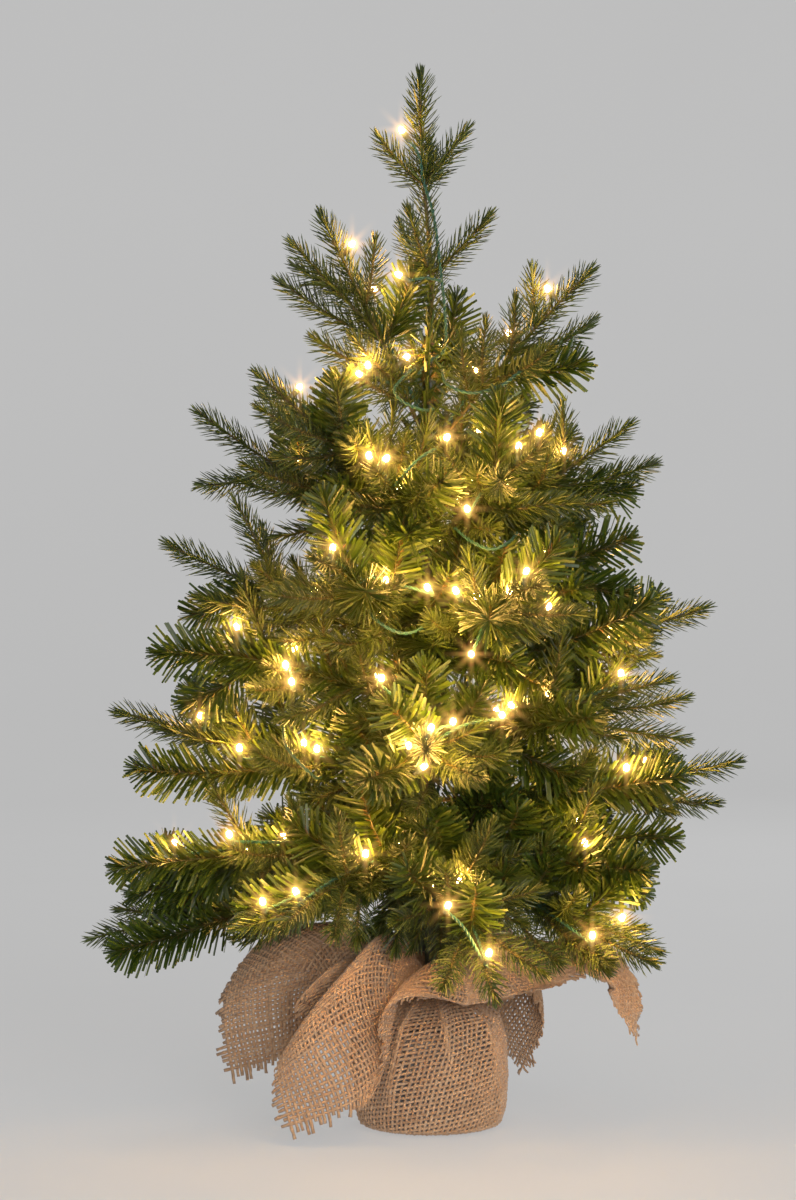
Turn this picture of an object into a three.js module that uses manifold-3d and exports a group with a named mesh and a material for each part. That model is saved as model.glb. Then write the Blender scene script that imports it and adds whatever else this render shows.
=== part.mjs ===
// Artificial tabletop tree, 900 mm tall: a cement weight wrapped in a square of burlap, a steel pole,
// wire-cored branches that bend at the pole, a leader, and a battery light string wound through them.
// Millimetres. +Z is up, the front is -Y, and the origin is the centre of the underside.
import * as THREE from "three";
import { mergeVertices } from "three/addons/utils/BufferGeometryUtils.js";
import Module from "manifold-3d";

const wasm = await Module();
wasm.setup();

// ---- Driving dimensions ----
const GAP = 0.4; // clearance between touching pieces
const POLE_RADIUS = 4.5;
const POLE_WALL = 1;
const POLE_FOOT = 25.4;
const POLE_TOP = 662;
const SOCKET_RADIUS = 8;
const SOCKET_FLOOR = 22.4;
const SOCKET_TOP = 94;
const CLOTH = 1.6; // thickness of the burlap
const WEIGHT_TOP = 86;
const NECK_RADIUS = 17.5;
const NECK_HEIGHT = 122;
const TIE_RADIUS = 1.5;
const GARLAND_RADIUS = 8.5;
const GARLAND_BOTTOM = 604;
const GARLAND_TOP = 656;
const BRANCH_START = 7; // distance from the pole's axis to the bend of each branch wire
const STEM_RADIUS = 1.9;
const CORE_RADIUS = 2.6; // twisted wire with the roots of its needles
const CORD_RADIUS = 1.6; // two twisted wires
const CORD_OFFSET = 5.4; // from the middle of a stem to the middle of its light wires
const LED_RADIUS = 2.5;
const LED_LENGTH = 13;
const CELL_RADIUS = 7.1;
const CELL_LENGTH = 50;
const CELL_SPACING = 15;
const BOX_WIDTH = 54;
const BOX_DEPTH = 20;
const BOX_HEIGHT = 64;
const BOX_WALL = 2;
const BOX_FRONT = 11; // Y of the box's front face, behind the pole
const BOX_BOTTOM = 146;

// ---- Branches ----
// root: height of the bend on the pole. end: where the last tip ends. arch: how far the stem bows up.
// tips: the side tips, each with the place on the stem that it leaves and where it ends.
// lamps: the places of the lamps on the branch, on the branches that carry light wires.
const BRANCHES = [
  {
    name: "upper_left", root: 588, end: [-95, -22, 776], arch: 2,
    tips: [
      { fork: 0.45, end: [-121, -40, 750] },
      { fork: 0.4, end: [-133, -8, 719] },
      { fork: 0.55, end: [-45, -50, 753] },
      { fork: 0.22, end: [-104, -45, 668] },
      { fork: 0.14, end: [-72, -62, 640] },
    ],
    lamps: [0.3, 0.62, 0.8],
  },
  {
    name: "upper_right", root: 578, end: [140, -30, 728], arch: 5,
    tips: [
      { fork: 0.5, end: [145, 0, 685] },
      { fork: 0.45, end: [72, -48, 704] },
      { fork: 0.28, end: [46, -62, 684] },
      { fork: 0.33, end: [104, -78, 656] },
      { fork: 0.3, end: [92, 36, 662] },
    ],
    lamps: [0.35, 0.55, 0.78],
  },
  {
    name: "upper_back", root: 596, end: [22, 112, 692], arch: 4,
    tips: [
      { fork: 0.4, end: [-44, 96, 668] },
      { fork: 0.45, end: [76, 84, 680] },
      { fork: 0.24, end: [-26, 8, 690] },
    ],
  },
  {
    name: "second_left", root: 515, end: [-150, -62, 639], arch: 0,
    tips: [
      { fork: 0.5, end: [-146, -96, 606] },
      { fork: 0.42, end: [-78, -84, 630] },
      { fork: 0.28, end: [-64, -128, 580] },
      { fork: 0.35, end: [-124, 2, 612] },
      { fork: 0.18, end: [-20, -84, 584] },
    ],
    lamps: [0.5, 0.8],
  },
  {
    name: "second_far_left", root: 497, end: [-206, 38, 612], arch: -9,
    tips: [
      { fork: 0.38, end: [-150, 84, 566] },
      { fork: 0.42, end: [-168, -2, 548] },
    ],
  },
  {
    name: "second_right", root: 500, end: [174, -30, 598], arch: -8,
    tips: [
      { fork: 0.5, end: [198, 10, 563] },
      { fork: 0.42, end: [156, -62, 526] },
      { fork: 0.36, end: [98, -58, 592] },
      { fork: 0.26, end: [108, 40, 584] },
    ],
    lamps: [0.32, 0.72],
  },
  {
    name: "second_right_front", root: 488, end: [92, -120, 572], arch: 6,
    tips: [
      { fork: 0.4, end: [112, -92, 530] },
      { fork: 0.45, end: [36, -126, 556] },
    ],
    lamps: [0.45, 0.8],
  },
  {
    name: "second_front", root: 478, end: [-50, -142, 556], arch: 8,
    tips: [
      { fork: 0.4, end: [-104, -106, 530] },
      { fork: 0.5, end: [-6, -150, 536] },
    ],
    lamps: [0.5, 0.88],
  },
  {
    name: "second_back", root: 510, end: [84, 150, 630], arch: 6,
    tips: [
      { fork: 0.4, end: [8, 150, 612] },
      { fork: 0.45, end: [132, 112, 590] },
      { fork: 0.3, end: [-62, 106, 586] },
    ],
  },
  {
    name: "third_left", root: 412, end: [-231, 15, 497], arch: -8,
    tips: [
      { fork: 0.54, end: [-168, -12, 537] },
      { fork: 0.4, end: [-203, -30, 448] },
      { fork: 0.36, end: [-150, -68, 478] },
      { fork: 0.3, end: [-122, 66, 482] },
    ],
    lamps: [0.2, 0.46],
  },
  {
    name: "third_right_upper", root: 426, end: [174, -36, 500], arch: 4,
    tips: [
      { fork: 0.4, end: [134, 22, 520] },
      { fork: 0.35, end: [112, -84, 492] },
    ],
  },
  {
    name: "third_right", root: 388, end: [244, 20, 441], arch: -6,
    tips: [
      { fork: 0.3, end: [190, -48, 446] },
      { fork: 0.5, end: [204, 62, 452] },
      { fork: 0.42, end: [196, -20, 398] },
    ],
    lamps: [0.4, 0.75],
  },
  {
    name: "third_front_left", root: 402, end: [-98, -188, 482], arch: 10,
    tips: [
      { fork: 0.32, end: [-128, -96, 462] },
      { fork: 0.36, end: [-34, -128, 466] },
      { fork: 0.52, end: [-136, -160, 452] },
      { fork: 0.56, end: [-52, -188, 454] },
    ],
    lamps: [0.5, 0.85],
  },
  {
    name: "third_front_right", root: 396, end: [88, -192, 460], arch: 10,
    tips: [
      { fork: 0.32, end: [112, -96, 428] },
      { fork: 0.36, end: [22, -134, 444] },
      { fork: 0.52, end: [128, -164, 436] },
      { fork: 0.56, end: [44, -196, 430] },
    ],
    lamps: [0.5, 0.85],
  },
  {
    name: "third_back", root: 410, end: [10, 214, 500], arch: 10,
    tips: [
      { fork: 0.35, end: [-68, 130, 474] },
      { fork: 0.38, end: [80, 130, 472] },
      { fork: 0.55, end: [-44, 200, 478] },
      { fork: 0.58, end: [58, 196, 474] },
    ],
  },
  {
    name: "fourth_left_upper", root: 344, end: [-234, -60, 401], arch: 18,
    tips: [
      { fork: 0.45, end: [-184, -4, 418] },
      { fork: 0.4, end: [-150, -112, 372] },
    ],
  },
  {
    name: "fourth_left", root: 290, end: [-276, 36, 351], arch: -3,
    tips: [
      { fork: 0.34, end: [-255, -32, 304] },
      { fork: 0.45, end: [-214, 74, 372] },
      { fork: 0.5, end: [-238, -8, 340] },
      { fork: 0.28, end: [-150, -72, 322] },
    ],
    lamps: [0.4, 0.75],
  },
  {
    name: "fourth_right_upper", root: 320, end: [205, -60, 382], arch: 2,
    tips: [
      { fork: 0.55, end: [222, -22, 364] },
      { fork: 0.48, end: [220, -46, 328] },
      { fork: 0.32, end: [134, -112, 352] },
      { fork: 0.3, end: [142, 12, 384] },
    ],
  },
  {
    name: "fourth_right", root: 276, end: [270, 15, 309], arch: -6,
    tips: [
      { fork: 0.3, end: [216, -44, 300] },
      { fork: 0.52, end: [247, -24, 274] },
      { fork: 0.42, end: [208, 72, 312] },
    ],
    lamps: [0.4, 0.7],
  },
  {
    name: "fourth_front", root: 300, end: [-6, -232, 330], arch: 12,
    tips: [
      { fork: 0.32, end: [-74, -128, 318] },
      { fork: 0.36, end: [62, -134, 322] },
      { fork: 0.52, end: [-56, -206, 306] },
      { fork: 0.56, end: [40, -214, 308] },
    ],
    lamps: [0.45, 0.8],
  },
  {
    name: "fourth_back", root: 304, end: [-8, 246, 350], arch: 12,
    tips: [
      { fork: 0.32, end: [-92, 146, 334] },
      { fork: 0.36, end: [84, 150, 334] },
      { fork: 0.52, end: [-64, 218, 322] },
      { fork: 0.56, end: [50, 226, 324] },
    ],
  },
  {
    name: "lower_left_upper", root: 240, end: [-270, -48, 222], arch: 2,
    tips: [
      { fork: 0.45, end: [-258, -14, 196] },
      { fork: 0.34, end: [-170, -112, 246] },
      { fork: 0.3, end: [-140, 40, 262] },
    ],
    lamps: [0.45, 0.8],
  },
  {
    name: "lower_left", root: 206, end: [-298, 26, 153], arch: 6,
    tips: [
      { fork: 0.5, end: [-276, 72, 174] },
      { fork: 0.45, end: [-272, -26, 148] },
      { fork: 0.3, end: [-166, -74, 164] },
      { fork: 0.32, end: [-140, 84, 190] },
    ],
  },
  {
    name: "lower_right_upper", root: 234, end: [212, -34, 246], arch: 4,
    tips: [
      { fork: 0.32, end: [182, -84, 222] },
      { fork: 0.36, end: [150, 40, 266] },
    ],
  },
  {
    name: "lower_right", root: 204, end: [193, -92, 156], arch: 6,
    tips: [
      { fork: 0.5, end: [184, -44, 170] },
      { fork: 0.42, end: [150, -128, 150] },
      { fork: 0.32, end: [122, -12, 190] },
    ],
  },
  {
    name: "lower_front", root: 216, end: [50, -212, 130], arch: 20,
    tips: [
      { fork: 0.32, end: [80, -118, 182] },
      { fork: 0.36, end: [-36, -134, 186] },
      { fork: 0.52, end: [94, -180, 148] },
      { fork: 0.56, end: [6, -202, 140] },
    ],
    lamps: [0.4, 0.85],
  },
  {
    name: "lower_front_left", root: 224, end: [-124, -178, 184], arch: 16,
    tips: [
      { fork: 0.32, end: [-136, -84, 206] },
      { fork: 0.36, end: [-50, -134, 210] },
      { fork: 0.52, end: [-164, -142, 180] },
      { fork: 0.56, end: [-78, -188, 178] },
    ],
  },
  {
    name: "lower_back_left", root: 226, end: [-128, 206, 190], arch: 16,
    tips: [
      { fork: 0.32, end: [-142, 98, 214] },
      { fork: 0.36, end: [-44, 146, 214] },
      { fork: 0.52, end: [-166, 168, 186] },
      { fork: 0.56, end: [-76, 212, 186] },
    ],
  },
  {
    name: "lower_back_right", root: 230, end: [138, 196, 196], arch: 16,
    tips: [
      { fork: 0.32, end: [44, 140, 222] },
      { fork: 0.36, end: [148, 92, 214] },
      { fork: 0.52, end: [84, 206, 190] },
      { fork: 0.56, end: [172, 156, 186] },
    ],
  },
];





const LIGHTS_START = 0.12; // place on a branch where its light wires begin

// ---- Leader: the top shoot, with two whorls of small side shoots ----
const LEADER_PATH = [
  [0, 0, 640],
  [0, 0, 668],
  [1, 0, 722],
  [-5, 0, 798],
  [-8, 0, 850],
];
const LEADER_TIP = [-8, 0, 900];
const LEADER_PIN_RADIUS = 3.1;
const LEADER_PIN_LENGTH = 30;
const LEADER_SHOOTS = [
  { from: [1, 0, 722], to: [-21, -42, 779] },
  { from: [1, 0, 722], to: [56, -5, 777] },
  { from: [1, 0, 722], to: [-28, 38, 774] },
  { from: [-5, 0, 798], to: [-49, -8, 843] },
  { from: [-5, 0, 798], to: [36, 4, 852] },
  { from: [-5, 0, 798], to: [0, 40, 846] },
];

// ---- Light wires on the pole, from the battery box to the leader ----
const POLE_LIGHTS_PATH = [
  [-8, 20, 210.6],
  [-6, 18, 222],
  [0, 9.4, 236],
  [0, 9.4, 256],
  [6.8, 6.8, 280],
  [6.8, 6.8, 340],
  [6.8, 6.8, 440],
  [-1, 9.6, 458],
  [-4.8, 8.3, 476],
  [-4.8, 8.3, 560],
  [-5.8, 10, 602],
  [-11.4, 2, 620],
  [-10, -6.4, 636],
  [0, -11.8, 648],
  [12, -10.5, 657],
  [13, -10.5, 680],
  [9, -10.5, 722],
  [3, -9.4, 770],
  [-5, -8.6, 798],
  [-9, -8.4, 822],
];
const POLE_LIGHTS_LAMPS = [0.955, 0.8, 0.4];

// ---- Burlap flaps that hang from the tied neck ----
// Each flap has a middle line, the half width across it at each point, and the direction it is wide in.
const FLAP_THICKNESS = 3;
const FLAPS = [
  {
    middle: [
      [-16, -20, 141],
      [-34, -52, 140],
      [-54, -82, 108],
      [-72, -96, 60],
      [-88, -102, 12],
    ],
    halfWidth: [16, 34, 46, 44, 26],
    across: [0.86, -0.5, 0.1],
  },
  {
    middle: [
      [-22, -6, 141],
      [-60, 2, 140],
      [-104, 18, 112],
      [-132, 30, 66],
      [-142, 34, 22],
    ],
    halfWidth: [14, 30, 38, 36, 30],
    across: [0.4, 0.9, 0.1],
  },
  {
    middle: [
      [22, -4, 141],
      [64, -6, 136],
      [112, -8, 136],
      [152, -10, 118],
      [170, -12, 84],
    ],
    halfWidth: [14, 30, 28, 20, 9],
    across: [0.1, 0.97, 0.15],
  },
  {
    middle: [
      [10, 22, 141],
      [40, 56, 128],
      [64, 78, 98],
      [74, 90, 58],
    ],
    halfWidth: [14, 30, 30, 14],
    across: [0.8, -0.6, 0],
  },
];

// ---- Colours ----
const material = (color, roughness, metalness = 0) =>
  new THREE.MeshStandardMaterial({ color, roughness, metalness });
const needleGreen = material("#34502a", 0.6);
const garlandGreen = material("#23301a", 0.7);
const wireGreen = material("#2c5a45", 0.5);
const poleGreen = material("#25352a", 0.45, 0.6);
const burlap = material("#a98a66", 0.95);
const cement = material("#9a968e", 0.95);
const twine = material("#8f7350", 0.9);
const socketPlastic = material("#2d3b30", 0.6);
const boxPlastic = material("#2a3a2e", 0.5);
const buttonPlastic = material("#1d1f1e", 0.5);
const cellSleeve = material("#7f8488", 0.35, 0.4);

// ---- Solids ----
const up = new THREE.Vector3(0, 0, 1);
const vector = (p) => new THREE.Vector3(...p);

function toSolid(geometry) {
  const bare = geometry.index ? geometry.toNonIndexed() : geometry.clone();
  bare.deleteAttribute("normal");
  bare.deleteAttribute("uv");
  const merged = mergeVertices(bare, 1e-3);
  const vertProperties = merged.attributes.position.array;
  const triVerts = new Uint32Array(merged.index.array);
  return new wasm.Manifold(new wasm.Mesh({ numProp: 3, vertProperties, triVerts }));
}

function toGeometry(solid) {
  const made = solid.getMesh();
  const geometry = new THREE.BufferGeometry();
  geometry.setAttribute("position", new THREE.BufferAttribute(made.vertProperties, 3));
  geometry.setIndex(new THREE.BufferAttribute(made.triVerts, 1));
  return geometry;
}

function join(geometries) {
  const solids = geometries.map(toSolid);
  return toGeometry(solids.reduce((a, b) => a.add(b)));
}

function cut(geometry, tools) {
  const solids = tools.map(toSolid);
  return toGeometry(solids.reduce((a, b) => a.subtract(b), toSolid(geometry)));
}

function ring(radius, sides) {
  const shape = new THREE.Shape();
  for (let i = 0; i < sides; i++) {
    const angle = (2 * Math.PI * i) / sides;
    shape[i ? "lineTo" : "moveTo"](radius * Math.cos(angle), radius * Math.sin(angle));
  }
  shape.closePath();
  return shape;
}

// A round bar along a curve, with flat ends.
function bar(curve, radius, steps, sides = 5) {
  const options = { steps, extrudePath: curve, curveSegments: 1, bevelEnabled: false };
  return new THREE.ExtrudeGeometry(ring(radius, sides), options);
}

// A solid of revolution about Z, from [radius, height] points.
function lathe(profile, segments) {
  const points = profile.map(([r, z]) => new THREE.Vector2(r, z));
  return new THREE.LatheGeometry(points, segments).rotateX(Math.PI / 2);
}

// A round rod about Z.
function rod(radius, bottom, top, segments) {
  return lathe([[0, bottom], [radius, bottom], [radius, top], [0, top]], segments);
}

function block(width, depth, height, x, y, z) {
  return new THREE.BoxGeometry(width, depth, height).translate(x, y, z);
}

// A pointed core from one point to another.
function spindle(from, to) {
  const way = to.clone().sub(from);
  const length = way.length();
  const profile = [
    [0, 0],
    [CORE_RADIUS, length * 0.06],
    [0, length],
  ];
  const turn = new THREE.Quaternion().setFromUnitVectors(up, way.normalize());
  return lathe(profile, 4).applyQuaternion(turn).translate(from.x, from.y, from.z);
}

// ---- Branches ----
// The line of a branch: from its bend at the pole to the end of its last tip.
function branchCurve({ root, end, arch }) {
  const tip = vector(end);
  const outward = new THREE.Vector3(tip.x, tip.y, 0).normalize();
  const bend = outward.clone().multiplyScalar(BRANCH_START).setZ(root);
  const middle = bend.clone().lerp(tip, 0.5);
  middle.z += arch * 2;
  return new THREE.QuadraticBezierCurve3(bend, middle, tip);
}

// The direction that the light wires lie in from a place on the stem: square to the stem, as upright
// as it can be.
function wireSide(curve, place) {
  const along = curve.getTangent(place);
  const level = new THREE.Vector3().crossVectors(up, along).normalize();
  return new THREE.Vector3().crossVectors(along, level);
}

function sideTips(branch, curve) {
  return branch.tips.map(({ fork, end }) => spindle(curve.getPoint(fork), vector(end)));
}

function branchSolid(branch) {
  const curve = branchCurve(branch);
  return join([bar(curve, STEM_RADIUS, 7), ...sideTips(branch, curve)]);
}

// One lamp in its holder, standing on the light wires.
function lamp(foot, direction) {
  const profile = [
    [0, -CORD_RADIUS],
    [LED_RADIUS, -CORD_RADIUS],
    [0, LED_LENGTH],
  ];
  const turn = new THREE.Quaternion().setFromUnitVectors(up, direction);
  return lathe(profile, 4).applyQuaternion(turn).translate(foot.x, foot.y, foot.z);
}

// The light wires that run along a branch, beside its stem and clear of its side tips.
function branchLights(branch) {
  const curve = branchCurve(branch);
  const at = (place) => curve.getPoint(place).addScaledVector(wireSide(curve, place), CORD_OFFSET);
  const last = branch.lamps[branch.lamps.length - 1];
  const points = [];
  for (let i = 0; i <= 6; i++) {
    points.push(at(LIGHTS_START + ((last - LIGHTS_START) * i) / 6));
  }
  const wires = bar(new THREE.CatmullRomCurve3(points), CORD_RADIUS, 7, 4);
  const lamps = branch.lamps.map((place) => {
    const inside = place - 0.02;
    return lamp(at(inside), wireSide(curve, inside));
  });
  return join([wires, ...lamps]);
}

// ---- Leader ----
function leaderSolid() {
  const path = new THREE.CatmullRomCurve3(LEADER_PATH.map(vector));
  const foot = LEADER_PATH[0][2];
  const pin = rod(LEADER_PIN_RADIUS, foot, foot + LEADER_PIN_LENGTH, 10);
  const shoots = LEADER_SHOOTS.map(({ from, to }) => spindle(vector(from), vector(to)));
  const top = vector(LEADER_PATH[LEADER_PATH.length - 1]);
  const start = top.clone().setZ(top.z - 4);
  const tip = spindle(start, vector(LEADER_TIP));
  return join([pin, bar(path, STEM_RADIUS, 10), tip, ...shoots]);
}

function poleLights() {
  const path = new THREE.CatmullRomCurve3(POLE_LIGHTS_PATH.map(vector));
  const lamps = POLE_LIGHTS_LAMPS.map((place) => {
    const foot = path.getPointAt(place);
    const direction = new THREE.Vector3(foot.x, foot.y, 0).normalize();
    return lamp(foot, direction);
  });
  return join([bar(path, CORD_RADIUS, 52, 4), ...lamps]);
}

// ---- Pole and base ----
function pole() {
  const inner = POLE_RADIUS - POLE_WALL;
  const profile = [
    [inner, POLE_FOOT],
    [POLE_RADIUS, POLE_FOOT],
    [POLE_RADIUS, POLE_TOP],
    [inner, POLE_TOP],
    [inner, POLE_FOOT],
  ];
  return lathe(profile, 16);
}

function poleSocket() {
  const bore = POLE_RADIUS + GAP;
  const profile = [
    [0, SOCKET_FLOOR],
    [SOCKET_RADIUS, SOCKET_FLOOR],
    [SOCKET_RADIUS, SOCKET_TOP],
    [bore, SOCKET_TOP],
    [bore, SOCKET_FLOOR + 2.6],
    [0, SOCKET_FLOOR + 2.6],
  ];
  return lathe(profile, 16);
}

function garland() {
  const bore = POLE_RADIUS + GAP;
  const profile = [
    [bore, GARLAND_BOTTOM],
    [GARLAND_RADIUS, GARLAND_BOTTOM],
    [GARLAND_RADIUS, GARLAND_TOP],
    [bore, GARLAND_TOP],
    [bore, GARLAND_BOTTOM],
  ];
  return lathe(profile, 12);
}

function baseWeight() {
  const bore = SOCKET_RADIUS + GAP;
  const bottom = CLOTH + GAP;
  const profile = [
    [0, bottom],
    [54, bottom],
    [57, bottom + 3.5],
    [58.5, WEIGHT_TOP - 8],
    [53, WEIGHT_TOP],
    [bore, WEIGHT_TOP],
    [bore, SOCKET_FLOOR - GAP],
    [0, SOCKET_FLOOR - GAP],
  ];
  return lathe(profile, 24);
}

// ---- Burlap ----
function burlapSack() {
  const neckInside = NECK_RADIUS - CLOTH;
  const profile = [
    [0, 0],
    [56, 0],
    [61, 3],
    [64.5, 20],
    [65.5, 45],
    [64, 76],
    [57, 93],
    [40, 105],
    [24, 113],
    [NECK_RADIUS, NECK_HEIGHT - 4],
    [NECK_RADIUS, NECK_HEIGHT + 4],
    [23, 134],
    [30, 142],
    [28.8, 143.2],
    [21.8, 135],
    [neckInside, NECK_HEIGHT + 4.4],
    [neckInside, NECK_HEIGHT - 4.6],
    [23.3, 111.4],
    [39.4, 103.5],
    [55.8, 91.8],
    [62.4, 75.5],
    [63.9, 45],
    [62.9, 20],
    [59.6, 4],
    [55.4, CLOTH],
    [0, CLOTH],
  ];
  return lathe(profile, 16);
}

// A flap of cloth as a thin closed band along its middle line.
function flap({ middle, halfWidth, across }) {
  const line = new THREE.CatmullRomCurve3(middle.map(vector));
  const wide = vector(across).normalize();
  const positions = [];
  const count = middle.length;
  for (let i = 0; i < count; i++) {
    const centre = vector(middle[i]);
    const along = line.getTangent(i / (count - 1));
    const thick = new THREE.Vector3().crossVectors(wide, along).normalize();
    for (const [a, b] of [[-1, -1], [1, -1], [1, 1], [-1, 1]]) {
      const corner = centre.clone().addScaledVector(wide, a * halfWidth[i]);
      corner.addScaledVector(thick, (b * FLAP_THICKNESS) / 2);
      positions.push(corner.x, corner.y, corner.z);
    }
  }
  const faces = [0, 1, 2, 0, 2, 3];
  for (let i = 0; i < count - 1; i++) {
    for (let j = 0; j < 4; j++) {
      const a = 4 * i + j;
      const b = 4 * i + ((j + 1) % 4);
      faces.push(b, a, a + 4, b, a + 4, b + 4);
    }
  }
  const end = 4 * (count - 1);
  faces.push(end, end + 2, end + 1, end, end + 3, end + 2);
  const geometry = new THREE.BufferGeometry();
  geometry.setAttribute("position", new THREE.Float32BufferAttribute(positions, 3));
  geometry.setIndex(faces);
  return geometry;
}

function neckTie() {
  const middle = NECK_RADIUS + GAP + TIE_RADIUS;
  return new THREE.TorusGeometry(middle, TIE_RADIUS, 6, 20).translate(0, 0, NECK_HEIGHT);
}

// ---- Battery box ----
const boxMiddle = { y: BOX_FRONT + BOX_DEPTH / 2, z: BOX_BOTTOM + BOX_HEIGHT / 2 };
const BUTTON = { width: 9, height: 6, proud: 2, depth: 4, y: boxMiddle.y - 2, z: boxMiddle.z + 20 };
// The clip on the front of the box that holds it on the pole.
const CLIP = { radius: 7.4, bottom: 165, top: 183, web: 7, mouth: 6 };
const COVER_THICKNESS = 1.8;
const COVER_LIP = { width: 1.2, depth: 3, shorter: 16 };
const CELL_PIP = { radius: 2.6, height: 1.5 };

function poleClip() {
  const { radius, bottom, top, web, mouth } = CLIP;
  const height = top - bottom;
  const middle = bottom + height / 2;
  const outer = rod(radius, bottom, top, 16);
  const bridge = block(web, web, height, 0, BOX_FRONT + GAP - web / 2 + 1, middle);
  const poleRoom = rod(POLE_RADIUS + GAP, bottom - 5, top + 5, 16);
  const opening = block(mouth, 10, height + 6, 0, -radius, middle);
  return cut(join([outer, bridge]), [poleRoom, opening]);
}

function batteryBox() {
  const inner = BOX_WIDTH - 2 * BOX_WALL;
  const outside = block(BOX_WIDTH, BOX_DEPTH, BOX_HEIGHT, 0, boxMiddle.y, boxMiddle.z);
  const room = block(
    inner, BOX_DEPTH, BOX_HEIGHT - 2 * BOX_WALL, 0, boxMiddle.y + BOX_WALL, boxMiddle.z,
  );
  const buttonHole = block(
    BOX_WALL * 4, BUTTON.height + 2 * GAP, BUTTON.width + 2 * GAP, BOX_WIDTH / 2, BUTTON.y, BUTTON.z,
  );
  const shell = cut(outside, [room, buttonHole]);
  return join([shell, poleClip()]);
}

function batteryCover() {
  const y = BOX_FRONT + BOX_DEPTH + GAP;
  const plate = block(BOX_WIDTH, COVER_THICKNESS, BOX_HEIGHT, 0, y + COVER_THICKNESS / 2, boxMiddle.z);
  const { width, depth, shorter } = COVER_LIP;
  const lips = [-1, 1].map((side) => {
    const x = side * (BOX_WIDTH / 2 - BOX_WALL - GAP - width / 2);
    return block(width, depth, BOX_HEIGHT - shorter, x, y - 1, boxMiddle.z);
  });
  return join([plate, ...lips]);
}

function switchButton() {
  const x = BOX_WIDTH / 2 + BUTTON.proud - BUTTON.depth / 2;
  return block(BUTTON.depth, BUTTON.height, BUTTON.width, x, BUTTON.y, BUTTON.z);
}

function cell(x) {
  const profile = [
    [0, 0],
    [CELL_RADIUS, 0],
    [CELL_RADIUS, CELL_LENGTH - CELL_PIP.height],
    [CELL_PIP.radius, CELL_LENGTH - CELL_PIP.height],
    [CELL_PIP.radius, CELL_LENGTH],
    [0, CELL_LENGTH],
  ];
  const y = BOX_FRONT + BOX_WALL + CELL_RADIUS + GAP;
  return lathe(profile, 12).translate(x, y, boxMiddle.z - CELL_LENGTH / 2);
}

// ---- The whole tree ----
const tree = new THREE.Group();

function place(name, geometry, look) {
  const mesh = new THREE.Mesh(geometry, look);
  mesh.name = name;
  tree.add(mesh);
}

place("base_weight", baseWeight(), cement);
place("pole_socket", poleSocket(), socketPlastic);
place("trunk_pole", pole(), poleGreen);
place("trunk_garland", garland(), garlandGreen);
place("leader", leaderSolid(), needleGreen);
place("burlap_wrap", join([burlapSack(), ...FLAPS.map(flap)]), burlap);
place("neck_tie", neckTie(), twine);
place("battery_box", batteryBox(), boxPlastic);
place("battery_cover", batteryCover(), boxPlastic);
place("switch_button", switchButton(), buttonPlastic);
for (const index of [1, 2, 3]) {
  place(`battery_cell_${index}`, cell((index - 2) * CELL_SPACING), cellSleeve);
}
place("pole_lights", poleLights(), wireGreen);
for (const branch of BRANCHES) {
  place(`${branch.name}_branch`, branchSolid(branch), needleGreen);
  if (branch.lamps) {
    place(`${branch.name}_lights`, branchLights(branch), wireGreen);
  }
}

export default tree;
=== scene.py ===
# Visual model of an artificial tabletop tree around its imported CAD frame. Metres, +Z up, front -Y.
# Every needle, film strip and burlap yarn is real geometry; colour, grain and gloss are node materials.
import math
from collections import namedtuple

import bpy
import numpy as np
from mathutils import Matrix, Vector


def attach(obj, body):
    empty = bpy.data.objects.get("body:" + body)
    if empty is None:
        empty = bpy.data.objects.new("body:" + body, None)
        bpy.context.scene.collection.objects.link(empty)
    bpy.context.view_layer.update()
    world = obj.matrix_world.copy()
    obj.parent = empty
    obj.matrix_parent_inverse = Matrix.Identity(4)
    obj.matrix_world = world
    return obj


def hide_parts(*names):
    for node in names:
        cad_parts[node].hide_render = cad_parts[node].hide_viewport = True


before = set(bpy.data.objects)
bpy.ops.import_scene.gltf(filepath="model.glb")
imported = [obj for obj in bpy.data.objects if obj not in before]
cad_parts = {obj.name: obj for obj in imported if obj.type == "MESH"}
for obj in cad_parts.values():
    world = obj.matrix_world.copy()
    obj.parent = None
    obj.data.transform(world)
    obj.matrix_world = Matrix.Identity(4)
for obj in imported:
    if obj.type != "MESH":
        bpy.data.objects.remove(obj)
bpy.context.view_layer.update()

MM = 0.001
SEED = 7

# ---- Driving dimensions, in millimetres, as in the CAD model ----
BRANCH_START = 7  # from the pole's axis to the bend of each branch
CORD_OFFSET = 5.4  # from the middle of a stem to the middle of its light wires
WIRE_RADIUS = 0.8
WIRE_TWIST = 11  # length of one turn of the twisted pair
TIP_CLOSED = 9  # how far the last needles of a tip reach beyond its stem

Branch = namedtuple("Branch", "name root end arch kind lamps tips")

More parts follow.
